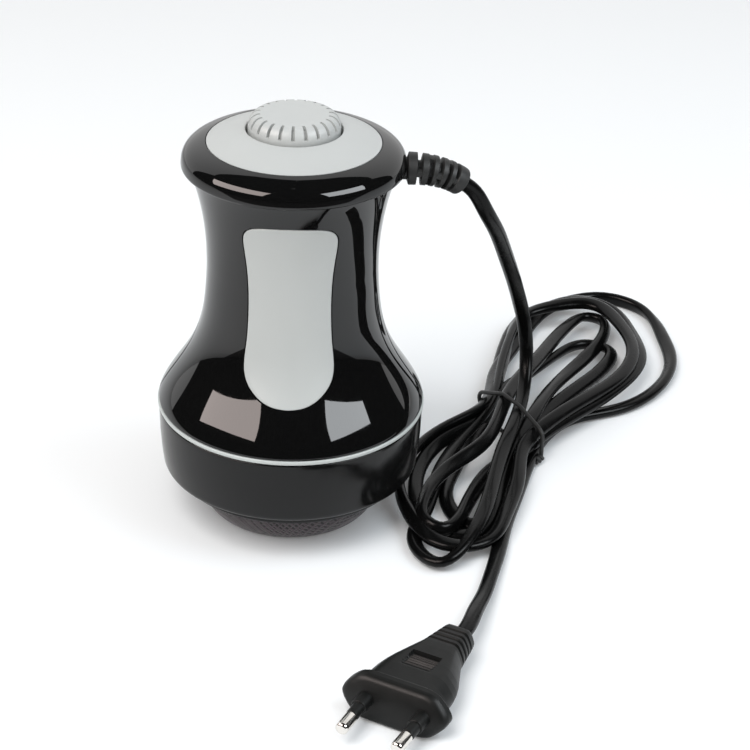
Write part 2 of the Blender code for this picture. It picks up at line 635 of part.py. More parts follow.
def shell_outline():
    """Half of the body's section: outer wall, ledge for the collar, and ribs for the mount."""
    outer = [(body_radius(height), height) for height in body_heights()]
    ledge = NECK_RADIUS + SEAT_GAP
    ledge_bottom = SHELF_BOTTOM + FLANGE_HEIGHT + SEAT_GAP
    bay = NECK_RADIUS + FLANGE_WIDTH + SEAT_GAP
    top = [(ledge, SHOULDER_HEIGHT), (ledge, ledge_bottom),
           (bay, ledge_bottom), (bay, SHELF_BOTTOM - SEAT_GAP),
           (inner_radius(SHELF_BOTTOM) - BAY_STEP, SHELF_BOTTOM - SEAT_GAP - BAY_STEP)]
    upper_rib_bottom = MOUNT_TOP + SEAT_GAP
    upper_rib_top = upper_rib_bottom + RIB_THICKNESS
    lower_rib_top = MOUNT_BOTTOM - SEAT_GAP
    lower_rib_bottom = lower_rib_top - RIB_THICKNESS
    groove = MOUNT_RADIUS + SEAT_GAP
    wall = [
        (inner_radius(height), height)
        for height in reversed(body_heights()[::2])
        if upper_rib_top + OVERRUN < height < SHELF_BOTTOM - BAY_STEP - OVERRUN
    ]
    ribs = [
        (inner_radius(upper_rib_top), upper_rib_top),
        (RIB_INNER_RADIUS, upper_rib_top),
        (RIB_INNER_RADIUS, upper_rib_bottom),
        (groove, upper_rib_bottom),
        (groove, lower_rib_top),
        (RIB_INNER_RADIUS, lower_rib_top),
        (RIB_INNER_RADIUS, lower_rib_bottom),
        (inner_radius(lower_rib_bottom), lower_rib_bottom),
        (inner_radius(FOOT_HEIGHT), FOOT_HEIGHT),
    ]
    return outer + top + wall + ribs


def panel_half_width(height):
    """The half width along the surface at a height, before the ends are rounded."""
    top = SHOULDER_HEIGHT - PANEL_TOP_BELOW_SHOULDER
    bottom = FOOT_HEIGHT + PANEL_BOTTOM_ABOVE_FOOT
    return float(np.interp(
        height, (bottom, WAIST_HEIGHT, top),
        (PANEL_FOOT_HALF_WIDTH, PANEL_WAIST_HALF_WIDTH, PANEL_TOP_HALF_WIDTH),
    ))


def panel_shape(name, finish, grow, inner_offset, outer_offset, middle_angle):
    """A curved plate that follows the body between two offsets from its surface."""
    top = SHOULDER_HEIGHT - PANEL_TOP_BELOW_SHOULDER + grow
    bottom = FOOT_HEIGHT + PANEL_BOTTOM_ABOVE_FOOT - grow
    maker = bmesh.new()
    layers = []
    for offset in (inner_offset, outer_offset):
        layer = []
        for down_share, width_share in PANEL_ROUND_SHARES:
            height = top + down_share * (bottom - top)
            half_width = panel_half_width(height) * width_share + grow
            radius = body_radius(height)
            row = []
            for column in range(PANEL_COLUMNS + 1):
                across = half_width * (2 * column / PANEL_COLUMNS - 1)
                angle = middle_angle + across / radius
                reach = radius + offset
                row.append(maker.verts.new(
                    (reach * math.cos(angle), reach * math.sin(angle), height)))
            layer.append(row)
        layers.append(layer)
    inner, outer = layers
    rows = len(PANEL_ROUND_SHARES)
    for layer in layers:
        for row in range(rows - 1):
            for column in range(PANEL_COLUMNS):
                maker.faces.new((layer[row][column], layer[row][column + 1],
                                 layer[row + 1][column + 1], layer[row + 1][column]))
    for row in range(rows - 1):
        for column in (0, PANEL_COLUMNS):
            maker.faces.new((inner[row][column], outer[row][column],
                             outer[row + 1][column], inner[row + 1][column]))
    for column in range(PANEL_COLUMNS):
        for row in (0, rows - 1):
            maker.faces.new((inner[row][column], outer[row][column],
                             outer[row][column + 1], inner[row][column + 1]))
    return finished(name, maker, finish)


def shell_boss(name, side, height, facing, radius):
    """A boss along Y from the parting plane to the wall, kept inside the body's skin."""
    reach = body_radius(height)
    outline = ((0.0, 0.0), (radius, 0.0), (radius, reach), (0.0, reach))
    boss = turned(name, outline, GLOSS_BLACK, SMALL_STEPS)
    boss.location = (side * SHELL_BOSS_X, 0.0, height)
    boss.rotation_euler = (-facing * QUARTER_TURN, 0.0, 0.0)
    core = turned(
        name + "_limit",
        [(0.0, FOOT_HEIGHT)]
        + [(body_radius(level) - BODY_WALL / 2, level) for level in body_heights()]
        + [(0.0, SHOULDER_HEIGHT)],
        GLOSS_BLACK, LARGE_STEPS)
    return trim_to(boss, core)


def cross_hole(name, outline, side, height):
    """A cutter turned about a screw's axis, which lies along Y."""
    hole = turned(name, outline, GLOSS_BLACK, SMALL_STEPS, HALF_TURN / SMALL_STEPS)
    hole.location = (side * SHELL_BOSS_X, 0.0, height)
    hole.rotation_euler = (-QUARTER_TURN, 0.0, 0.0)
    return hole


def relief_hole(name):
    """The round hole through which the strain relief's neck passes the wall."""
    radius = RELIEF_NECK_RADIUS + SEAT_GAP
    far = CAP_RADIUS + OVERRUN
    outline = ((0.0, 0.0), (radius, 0.0), (radius, far), (0.0, far))
    hole = turned(name, outline, GLOSS_BLACK, MEDIUM_STEPS)
    near = SHELF_RADIUS + SHELF_THICKNESS
    hole.location = (near, 0.0, CORD_EXIT_HEIGHT)
    hole.rotation_euler = (0.0, QUARTER_TURN, 0.0)
    return hole


def skirt_screw_places():
    return [on_circle(SKIRT_SCREW_CIRCLE, (index + 0.5) / 4) for index in range(4)]


def make_shell(name, facing):
    """One half of the body: facing -1 is the front shell and +1 the rear one."""
    start = HALF_TURN if facing < 0 else 0.0
    shell = turned(name, shell_outline(), GLOSS_BLACK, LARGE_STEPS // 2, start, HALF_TURN)
    for side in (-1, 1):
        for level, height in enumerate((LOWER_SHELL_SCREW_HEIGHT, UPPER_SHELL_SCREW_HEIGHT)):
            tag = name + "_" + ("left", "right")[side > 0] + ("_low", "_high")[level]
            boss_radius = BOSS_RADIUS if facing < 0 else HEAD_CLEARANCE + BOSS_WALL
            join(shell, shell_boss(tag + "_boss", side, height, facing, boss_radius))
            if facing < 0:
                depth = SHELL_SCREW_GRIP + SCREW_HEAD_HEIGHT
                outline = ((0.0, -depth), (SCREW_HOLE, -depth), (SCREW_HOLE, OVERRUN),
                           (0.0, OVERRUN))
            else:
                seat = SHELL_SCREW_SEAT
                outline = ((0.0, -OVERRUN), (SCREW_HOLE, -OVERRUN), (SCREW_HOLE, seat),
                           (HEAD_CLEARANCE, seat), (HEAD_CLEARANCE, FOOT_RADIUS),
                           (0.0, FOOT_RADIUS))
            cut(shell, cross_hole(tag + "_hole", outline, side, height))
    post_top = MOUNT_BOTTOM - SEAT_GAP - RIB_THICKNESS / 2
    for number, place in enumerate(skirt_screw_places()):
        if place.y * facing > 0:
            tag = name + "_post_" + str(number)
            join(shell, pillar(tag, BOSS_RADIUS, TRIM_BOTTOM, post_top, GLOSS_BLACK,
                               place=place))
            cut(shell, pillar(tag + "_hole", SCREW_HOLE, SKIRT_TOP,
                              TRIM_BOTTOM + SKIRT_SCREW_GRIP, GLOSS_BLACK, place=place))
    middle = facing * QUARTER_TURN
    cut(shell, panel_shape(name + "_recess", GLOSS_BLACK, SEAT_GAP,
                           -PANEL_THICKNESS + PANEL_PROUD - SEAT_GAP, OVERRUN, middle))
    cut(shell, relief_hole(name + "_cord_hole"))
    shell.location = (0.0, facing * SEAT_GAP / 2, 0.0)
    return shell


def make_panel(name, facing):
    panel = panel_shape(name, PANEL_GREY, 0.0, -PANEL_THICKNESS + PANEL_PROUD, PANEL_PROUD,
                        facing * QUARTER_TURN)
    panel.location = (0.0, facing * SEAT_GAP / 2, 0.0)
    return panel


def make_shell_screws():
    number = 0
    for height in (LOWER_SHELL_SCREW_HEIGHT, UPPER_SHELL_SCREW_HEIGHT):
        for side in (-1, 1):
            number += 1
            place = (side * SHELL_BOSS_X, SHELL_SCREW_SEAT + 2 * SEAT_GAP, height)
            screw("shell_screw_" + str(number), place, (0.0, -1.0, 0.0),
                  SHELL_SCREW_SEAT + SHELL_SCREW_GRIP)


def make_skirt():
    def wall_radius(share):
        set_in = np.interp(share, *zip(*SKIRT_SHARES))
        return SKIRT_TOP_RADIUS - float(set_in) * SKIRT_EDGE_SET_IN

    outer = [
        (wall_radius(share), SKIRT_TOP - share * SKIRT_HEIGHT)
        for share, _ in reversed(SKIRT_SHARES)
    ]
    lip_top = SKIRT_BOTTOM + SKIRT_LIP
    inside_bottom = wall_radius(1 - SKIRT_LIP / SKIRT_HEIGHT) - SKIRT_WALL
    inner = [
        (DECK_HOLE_RADIUS, SKIRT_TOP),
        (DECK_HOLE_RADIUS, DECK_BOTTOM),
        (SKIRT_INNER_RADIUS, DECK_BOTTOM),
        (inside_bottom, lip_top),
        (SKIRT_MOUTH_RADIUS, lip_top),
        (SKIRT_MOUTH_RADIUS, SKIRT_BOTTOM),
    ]
    skirt = turned("skirt", outer + inner, SATIN_BLACK, LARGE_STEPS)
    for number, place in enumerate(skirt_screw_places()):
        cut(skirt, pillar("skirt_hole_" + str(number), SCREW_HOLE, DECK_BOTTOM - OVERRUN,
                          SKIRT_TOP + OVERRUN, SATIN_BLACK, place=place))
        head = place + Vector((0.0, 0.0, DECK_BOTTOM - SEAT_GAP))
        length = DECK_THICKNESS + SKIRT_SCREW_GRIP
        screw("skirt_screw_" + str(number + 1), head, (0.0, 0.0, 1.0), length)


def make_trim():
    inner = TRIM_RADIUS - TRIM_WIDTH
    outline = ((inner, TRIM_BOTTOM), (TRIM_RADIUS, TRIM_BOTTOM), (TRIM_RADIUS, TRIM_TOP),
               (inner, TRIM_TOP))
    turned("trim_ring", outline, TRIM_GREY, LARGE_STEPS)


def make_collar():
    """The ring between body and cap, with the neck that the two shells grip."""
    neck_inner = NECK_RADIUS - NECK_WALL
    web_top = COLLAR_BOTTOM + COLLAR_WEB
    band_inner = COLLAR_TOP_RADIUS - COLLAR_BAND
    flange = NECK_RADIUS + FLANGE_WIDTH
    flange_top = SHELF_BOTTOM + FLANGE_HEIGHT
    bottom_radius = SHOULDER_RADIUS + SEAT_GAP
    outline = (
        (SHELF_RADIUS, SHELF_BOTTOM), (flange, SHELF_BOTTOM), (flange, flange_top),
        (NECK_RADIUS, flange_top), (NECK_RADIUS, COLLAR_BOTTOM), (bottom_radius, COLLAR_BOTTOM),
        (COLLAR_TOP_RADIUS, COLLAR_TOP), (band_inner, COLLAR_TOP), (band_inner, web_top),
        (neck_inner, web_top), (neck_inner, SHELF_TOP), (SHELF_RADIUS, SHELF_TOP),
    )
    collar = turned("cap_collar", outline, GLOSS_BLACK, LARGE_STEPS)
    cut(collar, relief_hole("collar_cord_hole"))
    for number, place in enumerate(cap_screw_places()):
        cut(collar, pillar("collar_hole_" + str(number), SCREW_HOLE, SHELF_BOTTOM - OVERRUN,
                           SHELF_TOP + OVERRUN, GLOSS_BLACK, place=place))
    for number, side in enumerate((-1, 1)):
        place = (CLAMP_PLACE, side * CLAMP_SCREW_OFFSET)
        cut(collar, pillar("collar_clamp_hole_" + str(number), SCREW_HOLE,
                           SHELF_BOTTOM - OVERRUN, SHELF_TOP + OVERRUN, GLOSS_BLACK,
                           place=place))


def insert_points(offset=0.0):
    """The insert's dome from its rim to the dial's well."""
    return [
        (INSERT_RADIUS + share * (WELL_RADIUS - INSERT_RADIUS),
         INSERT_RIM_TOP + rise * INSERT_CROWN - offset)
        for share, rise in INSERT_DOME_SHARES
    ]


def cap_screw_places():
    return [on_circle(CAP_SCREW_CIRCLE, (index + 0.5) / CAP_SCREWS) for index in range(CAP_SCREWS)]


def make_cap():
    """The domed top with the sunk seat that carries the insert."""
    seat_edge = INSERT_RADIUS + SEAT_GAP
    dome = [
        (CAP_RADIUS + share * (seat_edge - CAP_RADIUS), CAP_BOTTOM + rise * CAP_HEIGHT)
        for rise, share in CAP_DOME_SHARES
    ]
    seat_drop = INSERT_THICKNESS + SEAT_GAP
    well_outer = WELL_RADIUS + WELL_WALL + SEAT_GAP
    slope = insert_points(seat_drop)
    seat = [(seat_edge, slope[0][1])]
    seat += [(radius, height) for radius, height in slope if well_outer < radius < INSERT_RADIUS]
    end_height = float(np.interp(-well_outer, [-r for r, _ in slope], [z for _, z in slope]))
    seat.append((well_outer, end_height))
    under = [(radius, height - INSERT_THICKNESS) for radius, height in reversed(seat)]
    wall = [
        (radius - CAP_WALL, height - INSERT_THICKNESS)
        for radius, height in reversed(dome[1:4])
        if radius - CAP_WALL > seat_edge and height - INSERT_THICKNESS > CAP_BOTTOM
    ]
    bottom = [(CAP_RIM_RADIUS - CAP_WALL, CAP_BOTTOM), (CAP_RIM_RADIUS, CAP_BOTTOM)]
    cap = turned("top_cap", dome + seat + under + wall + bottom, GLOSS_BLACK, LARGE_STEPS)
    boss_bottom = BOARD_TOP + SEAT_GAP
    limit = [(0.0, CAP_BOTTOM - CAP_HEIGHT), (seat_edge, CAP_BOTTOM - CAP_HEIGHT)]
    limit += [(radius, height - INSERT_THICKNESS / 2) for radius, height in seat]
    limit.append((0.0, limit[-1][1]))
    for number, place in enumerate(cap_screw_places()):
        tag = "cap_boss_" + str(number)
        boss = pillar(tag, BOSS_RADIUS, boss_bottom, CAP_TOP + INSERT_CROWN, GLOSS_BLACK,
                      place=place)
        join(cap, trim_to(boss, turned(tag + "_limit", limit, GLOSS_BLACK, LARGE_STEPS)))
        cut(cap, pillar(tag + "_hole", SCREW_HOLE, boss_bottom - OVERRUN,
                        boss_bottom + CAP_SCREW_GRIP + SEAT_GAP, GLOSS_BLACK, place=place))
        head = place + Vector((0.0, 0.0, SHELF_BOTTOM - SEAT_GAP))
        length = boss_bottom + CAP_SCREW_GRIP - SHELF_BOTTOM
        screw("cap_screw_" + str(number + 1), head, (0.0, 0.0, 1.0), length)
    cut(cap, relief_hole("cap_cord_hole"))


def make_insert():
    """The pale disc in the cap, with the well that the dial sits in."""
    top = insert_points()
    hole = POT_BUSH_RADIUS + SEAT_GAP
    well_outer = WELL_RADIUS + WELL_WALL
    under_rim = insert_points(INSERT_THICKNESS)
    under_end = float(np.interp(-well_outer, [-r for r, _ in under_rim],
                                [z for _, z in under_rim]))
    well = [(WELL_RADIUS, WELL_FLOOR_TOP), (hole, WELL_FLOOR_TOP), (hole, WELL_FLOOR_BOTTOM),
            (well_outer, WELL_FLOOR_BOTTOM), (well_outer, under_end)]
    under = [(radius, height) for radius, height in reversed(under_rim) if radius > well_outer]
    turned("top_insert", top + well + under, SOFT_GREY, LARGE_STEPS)


def make_dial():
    """The knob: a domed cup with grooves over its shoulder and a hub for the shaft."""
    columns = DIAL_GROOVES * 4
    sections = []
    for rise, inward, cut_share in DIAL_SHARES:
        radius = DIAL_RADIUS + inward * (DIAL_TOP_RADIUS - DIAL_RADIUS)
        height = DIAL_BOTTOM + rise * DIAL_HEIGHT
        ring = []
        for column in range(columns):
            grooved = column % 4 in (2, 3)
            depth = DIAL_GROOVE_DEPTH * cut_share if grooved else 0.0
            lowered = depth if rise > 1 - DIAL_GROOVE_DEPTH / DIAL_HEIGHT else 0.0
            ring.append(on_circle(radius - depth, column / columns, height - lowered))
        sections.append(ring)
    dial = lofted("speed_dial", sections, SOFT_GREY)
    roof = DIAL_TOP - DIAL_WALL
    cut(dial, pillar("dial_hollow", DIAL_RADIUS - DIAL_WALL, DIAL_BOTTOM - OVERRUN,
                     roof - DIAL_WALL, SOFT_GREY, MEDIUM_STEPS))
    join(dial, pillar("dial_hub", DIAL_HUB_RADIUS, DIAL_HUB_BOTTOM, roof, SOFT_GREY))
    bore_top = DIAL_HUB_BOTTOM + DIAL_BORE_DEPTH
    cut(dial, pillar("dial_bore", POT_SHAFT_RADIUS + SEAT_GAP, DIAL_HUB_BOTTOM - OVERRUN,
                     bore_top, SOFT_GREY))
    pillar("pot_shaft", POT_SHAFT_RADIUS, POT_BOTTOM + POT_SHAFT_FOOT + SEAT_GAP,
           bore_top - SEAT_GAP, POT_METAL)


def make_speed_control():
    """Board, potentiometer with its nut, capacitor and heat sink."""
    board = turned("control_board", (
        (0.0, BOARD_BOTTOM), (BOARD_RADIUS, BOARD_BOTTOM), (BOARD_RADIUS, BOARD_TOP),
        (0.0, BOARD_TOP)), BOARD_GREEN, MEDIUM_STEPS)
    reach = BOARD_RADIUS + OVERRUN
    cut(board, block("board_flat", (BOARD_FLAT, -reach, BOARD_BOTTOM - OVERRUN),
                     (reach, reach, BOARD_TOP + OVERRUN), BOARD_GREEN))
    for number, place in enumerate(cap_screw_places()):
        cut(board, pillar("board_hole_" + str(number), SCREW_HOLE, BOARD_BOTTOM - OVERRUN,
                          BOARD_TOP + OVERRUN, BOARD_GREEN, place=place))
    bore = POT_SHAFT_RADIUS + RUN_GAP
    bush_top = POT_TOP + POT_BUSH_HEIGHT
    turned("speed_pot", (
        (0.0, POT_BOTTOM), (POT_RADIUS, POT_BOTTOM), (POT_RADIUS, POT_TOP),
        (POT_BUSH_RADIUS, POT_TOP), (POT_BUSH_RADIUS, bush_top), (bore, bush_top),
        (bore, POT_BOTTOM + POT_SHAFT_FOOT), (0.0, POT_BOTTOM + POT_SHAFT_FOOT),
    ), POT_METAL, SMALL_STEPS * 2)
    nut_bore = POT_BUSH_RADIUS + 2 * SEAT_GAP
    turned("pot_nut", ((nut_bore, NUT_BOTTOM), (NUT_RADIUS, NUT_BOTTOM), (NUT_RADIUS, NUT_TOP),
                       (nut_bore, NUT_TOP)), ZINC, SMALL_STEPS)
    low = BOARD_TOP + SEAT_GAP
    middle = Vector((*CAPACITOR_PLACE, low))
    half = Vector(CAPACITOR_SIZE) / 2
    block("capacitor", middle - Vector((half.x, half.y, 0.0)),
          middle + Vector((half.x, half.y, CAPACITOR_SIZE[2])), CAPACITOR_YELLOW)
    middle = Vector((*HEAT_SINK_PLACE, low))
    width, depth, height = HEAT_SINK_SIZE
    sink = block("heat_sink", middle - Vector((width / 2, depth / 2, 0.0)),
                 middle + Vector((width / 2, depth / 2, height)), ALUMINIUM)
    pitch = width / (2 * HEAT_SINK_SLOTS + 1)
    for slot in range(HEAT_SINK_SLOTS):
        left = middle.x - width / 2 + pitch * (2 * slot + 1)
        cut(sink, block("sink_slot_" + str(slot),
                        (left, middle.y - depth / 2 - OVERRUN, low + height / 3),
                        (left + pitch, middle.y + depth / 6, low + height + OVERRUN),
                        ALUMINIUM))


def make_motor():
    """Motor can, magnets, end cap, mount plate and the screws between them."""
    boss_bottom = MOTOR_BOTTOM - MOTOR_BOSS_HEIGHT
    face_top = MOTOR_BOTTOM + MOTOR_CAN_WALL * 2
    can = turned("motor_can", (
        (SHAFT_BORE, boss_bottom), (MOTOR_BOSS_RADIUS, boss_bottom),
        (MOTOR_BOSS_RADIUS, MOTOR_BOTTOM), (MOTOR_RADIUS, MOTOR_BOTTOM),
        (MOTOR_RADIUS, MOTOR_TOP), (MOTOR_BORE, MOTOR_TOP), (MOTOR_BORE, face_top),
        (SHAFT_BORE, face_top)), STEEL, MEDIUM_STEPS)
    end_bottom = MOTOR_TOP + SEAT_GAP
    turned("motor_end_cap", (
        (SHAFT_BORE, end_bottom), (MOTOR_RADIUS, end_bottom),
        (MOTOR_RADIUS, end_bottom + MOTOR_END_HEIGHT), (SHAFT_BORE, end_bottom + MOTOR_END_HEIGHT),
    ), INNER_PLASTIC, MEDIUM_STEPS)
    magnet_outer = MOTOR_BORE - 2 * SEAT_GAP
    sweep = HALF_TURN * MAGNET_SWEEP_SHARE
    for number, facing in enumerate((1, -1)):
        start = facing * QUARTER_TURN - sweep / 2
        turned("magnet_" + str(number + 1), (
            (MAGNET_INNER, MAGNET_BOTTOM), (magnet_outer, MAGNET_BOTTOM),
            (magnet_outer, MAGNET_BOTTOM + MAGNET_HEIGHT),
            (MAGNET_INNER, MAGNET_BOTTOM + MAGNET_HEIGHT)), FERRITE, SMALL_STEPS, start, sweep)
    plate = turned("motor_mount", (
        (MOTOR_BOSS_RADIUS + SEAT_GAP, MOUNT_BOTTOM), (MOUNT_RADIUS, MOUNT_BOTTOM),
        (MOUNT_RADIUS, MOUNT_TOP), (MOTOR_BOSS_RADIUS + SEAT_GAP, MOUNT_TOP)),
        ZINC, LARGE_STEPS)
    for number, side in enumerate((-1, 1)):
        place = Vector((side * MOTOR_SCREW_OFFSET, 0.0, MOUNT_BOTTOM - SEAT_GAP))
        cut(plate, pillar("mount_hole_" + str(number), SCREW_HOLE, MOUNT_BOTTOM - OVERRUN,
                          MOUNT_TOP + OVERRUN, ZINC, place=place))
        cut(can, pillar("can_hole_" + str(number), SCREW_HOLE, MOTOR_BOTTOM - OVERRUN,
                        face_top + OVERRUN, STEEL, place=place))
        screw("motor_screw_" + str(number + 1), place, (0.0, 0.0, 1.0),
              MOUNT_THICKNESS + MOTOR_SCREW_GRIP)


def make_rotor():
    """Shaft, armature, eccentric hub with its pin, and counterweight."""
    shaft_bottom = HUB_BOTTOM + HUB_FLOOR + SEAT_GAP
    shaft_top = MOTOR_TOP + MOTOR_END_HEIGHT
    pillar("motor_shaft", SHAFT_RADIUS, shaft_bottom, shaft_top, STEEL, SMALL_STEPS)
    armature_bottom = MAGNET_BOTTOM
    armature_top = MAGNET_BOTTOM + MAGNET_HEIGHT
    turned("armature", (
        (SHAFT_BORE, armature_bottom), (ARMATURE_RADIUS, armature_bottom),
        (ARMATURE_RADIUS, armature_top), (COMMUTATOR_RADIUS, armature_top),
        (COMMUTATOR_RADIUS, armature_top + COMMUTATOR_HEIGHT),
        (SHAFT_BORE, armature_top + COMMUTATOR_HEIGHT)), LAMINATION, MEDIUM_STEPS)
    hub = turned("eccentric_hub", (
        (0.0, HUB_BOTTOM), (HUB_RADIUS, HUB_BOTTOM), (HUB_RADIUS, HUB_TOP), (SHAFT_BORE, HUB_TOP),
        (SHAFT_BORE, HUB_BOTTOM + HUB_FLOOR), (0.0, HUB_BOTTOM + HUB_FLOOR)),
        INNER_PLASTIC, MEDIUM_STEPS)
    join(hub, pillar("hub_pin", PIN_RADIUS, BEARING_BOTTOM, HUB_BOTTOM + HUB_FLOOR / 2,
                     INNER_PLASTIC, SMALL_STEPS, (THROW, 0.0)))
    cut(hub, pillar("hub_pin_hole", SCREW_HOLE, BEARING_BOTTOM - OVERRUN,
                    BEARING_BOTTOM + RETAINER_GRIP, INNER_PLASTIC, SMALL_STEPS, (THROW, 0.0)))
    screw("bearing_screw", (THROW, 0.0, BEARING_BOTTOM - SEAT_GAP), (0.0, 0.0, 1.0),
          RETAINER_GRIP, RETAINER_RADIUS, RETAINER_HEIGHT)
    weight_bottom = HUB_BOTTOM + SEAT_GAP
    turned("counterweight", (
        (HUB_RADIUS + SEAT_GAP, weight_bottom), (COUNTERWEIGHT_RADIUS, weight_bottom),
        (COUNTERWEIGHT_RADIUS, weight_bottom + COUNTERWEIGHT_HEIGHT),
        (HUB_RADIUS + SEAT_GAP, weight_bottom + COUNTERWEIGHT_HEIGHT)),
        ZINC, SMALL_STEPS, QUARTER_TURN, HALF_TURN)
    top = BEARING_BOTTOM + BEARING_HEIGHT
    inner = turned("bearing_inner_ring", (
        (BEARING_BORE, BEARING_BOTTOM), (BEARING_BORE + BEARING_RING, BEARING_BOTTOM),
        (BEARING_BORE + BEARING_RING, top), (BEARING_BORE, top)), STEEL, MEDIUM_STEPS)
    inner.location = (THROW, 0.0, 0.0)


def head_clip_places():
    return [on_circle(CLIP_CIRCLE, index / HEAD_CLIPS) + Vector((THROW, 0.0, 0.0))
            for index in range(HEAD_CLIPS)]


def make_head():
    """Bearing ring, drive plate and massage head, all round the eccentric axis."""
    top = BEARING_BOTTOM + BEARING_HEIGHT
    ring_inner = BEARING_BORE + BEARING_RING + RUN_GAP
    outer_ring = turned("bearing_outer_ring", (
        (ring_inner, BEARING_BOTTOM), (BEARING_OUTER_RADIUS, BEARING_BOTTOM),
        (BEARING_OUTER_RADIUS, top), (ring_inner, top)), STEEL, MEDIUM_STEPS)
    outer_ring.location = (THROW, 0.0, 0.0)
    seat = BEARING_OUTER_RADIUS + SEAT_GAP
    sleeve = seat + DRIVE_HUB_WALL
    plate_top = DRIVE_PLATE_BOTTOM + DRIVE_PLATE_THICKNESS
    plate = turned("drive_plate", (
        (seat, BEARING_BOTTOM), (sleeve, BEARING_BOTTOM), (sleeve, DRIVE_PLATE_BOTTOM),
        (DRIVE_PLATE_RADIUS, DRIVE_PLATE_BOTTOM), (DRIVE_PLATE_RADIUS, plate_top),
        (sleeve, plate_top), (sleeve, top), (seat, top)), INNER_PLASTIC, MEDIUM_STEPS)
    plate.location = (THROW, 0.0, 0.0)
    floor_top = HEAD_FLOOR_BOTTOM + HEAD_FLOOR
    rim = DRIVE_PLATE_BOTTOM - SEAT_GAP
    bevel = HEAD_FLOOR / 2
    head = turned("massage_head", (
        (0.0, HEAD_FLOOR_BOTTOM), (HEAD_RADIUS - bevel, HEAD_FLOOR_BOTTOM),
        (HEAD_RADIUS - bevel / 3, HEAD_FLOOR_BOTTOM + bevel / 2),
        (HEAD_RADIUS, HEAD_FLOOR_BOTTOM + HEAD_FLOOR), (HEAD_RADIUS, rim),
        (HEAD_RADIUS - HEAD_WALL, rim), (HEAD_RADIUS - HEAD_WALL, floor_top),
        (0.0, floor_top)), HEAD_WHITE, LARGE_STEPS)
    head.location = (THROW, 0.0, 0.0)
    clip_bottom = floor_top + CLIP_END_GAP
    socket = CLIP_RADIUS + SEAT_GAP
    for number, place in enumerate(head_clip_places()):
        join(plate, pillar("clip_" + str(number), CLIP_RADIUS, clip_bottom,
                           plate_top - DRIVE_PLATE_THICKNESS / 2, INNER_PLASTIC, place=place))
        join(head, pillar("socket_" + str(number), socket + CLIP_SOCKET_WALL,
                          floor_top - HEAD_FLOOR / 2, rim - SEAT_GAP, HEAD_WHITE,
                          place=place))
        cut(head, pillar("socket_bore_" + str(number), socket, clip_bottom - SEAT_GAP,
                         rim + OVERRUN, HEAD_WHITE, place=place))
    farthest = HEAD_RADIUS - bevel - NODULE_EDGE_CLEAR - NODULE_RADIUS
    rings = round(farthest / NODULE_RING_SPACING)
    for ring in range(rings + 1):
        reach = farthest * ring / rings
        count = max(1, round(FULL_TURN * reach / NODULE_SPACING))
        for index in range(count):
            nodule = nodule_shape("nodule_" + str(ring) + "_" + str(index))
            nodule.location = on_circle(reach, index / count) + Vector((THROW, 0.0, 0.0))
            join(head, nodule)


def nodule_shape(name):
    """A round-ended knob under the massage head."""
    base = HEAD_FLOOR_BOTTOM + HEAD_FLOOR / 4
    drop = HEAD_FLOOR_BOTTOM - NODULE_TIP
    outline = (
        (0.0, NODULE_TIP), (NODULE_RADIUS * 0.55, NODULE_TIP + drop * 0.1),
        (NODULE_RADIUS * 0.9, NODULE_TIP + drop * 0.5), (NODULE_RADIUS, base), (0.0, base),
    )
    return turned(name, outline, HEAD_WHITE, NODULE_STEPS, NODULE_TURN)


def make_cover():
    """The net that closes over the massage head, and the hoop that holds it."""
    def arc(offset):
        points = []
        for share in NET_ARC_SHARES:
            angle = QUARTER_TURN * share
            radius = NET_FLAT_RADIUS + NET_BULGE * math.sin(angle)
            height = NET_BULGE_HEIGHT * (1 - math.cos(angle))
            inward = offset * math.sin(angle)
            points.append((radius - inward, height + offset * math.cos(angle)))
        return points

    flare_top = NET_BULGE_HEIGHT + NET_FLARE + NET_THICKNESS
    flare = (
        (NET_SIDE_RADIUS + NET_FLARE / 2, NET_BULGE_HEIGHT + NET_FLARE / 2),
        (NET_TOP_RADIUS, flare_top), (NET_TOP_RADIUS, NET_TOP),
    )
    outer = [(0.0, 0.0)] + arc(0.0) + list(flare)
    inner = [(radius - NET_THICKNESS, height) for radius, height in reversed(flare)]
    inner += list(reversed(arc(NET_THICKNESS))) + [(0.0, NET_THICKNESS)]
    turned("mesh_cover", outer + inner, NET_BROWN, LARGE_STEPS)
    lip = HOOP_OUTER_RADIUS + HOOP_LIP
    turned("cover_hoop", (
        (HOOP_INNER_RADIUS, HOOP_BOTTOM), (lip, HOOP_BOTTOM), (lip, HOOP_LIP_TOP),
        (HOOP_OUTER_RADIUS, HOOP_LIP_TOP), (HOOP_OUTER_RADIUS, HOOP_BOTTOM + HOOP_HEIGHT),
        (HOOP_INNER_RADIUS, HOOP_BOTTOM + HOOP_HEIGHT)), SATIN_BLACK, LARGE_STEPS)


def spline_bends(knots, steps):
    """The second derivatives of a natural cubic curve through the knots."""
    count = len(knots)
    system = np.zeros((count, count))
    wanted = np.zeros((count, 3))
    system[0, 0] = 1.0
    system[-1, -1] = 1.0
    for index in range(1, count - 1):
        before = steps[index - 1]
        after = steps[index]
        system[index, index - 1] = before
        system[index, index] = 2 * (before + after)
        system[index, index + 1] = after
        rise = (knots[index + 1] - knots[index]) / after
        wanted[index] = 6 * (rise - (knots[index] - knots[index - 1]) / before)
    return np.linalg.solve(system, wanted)


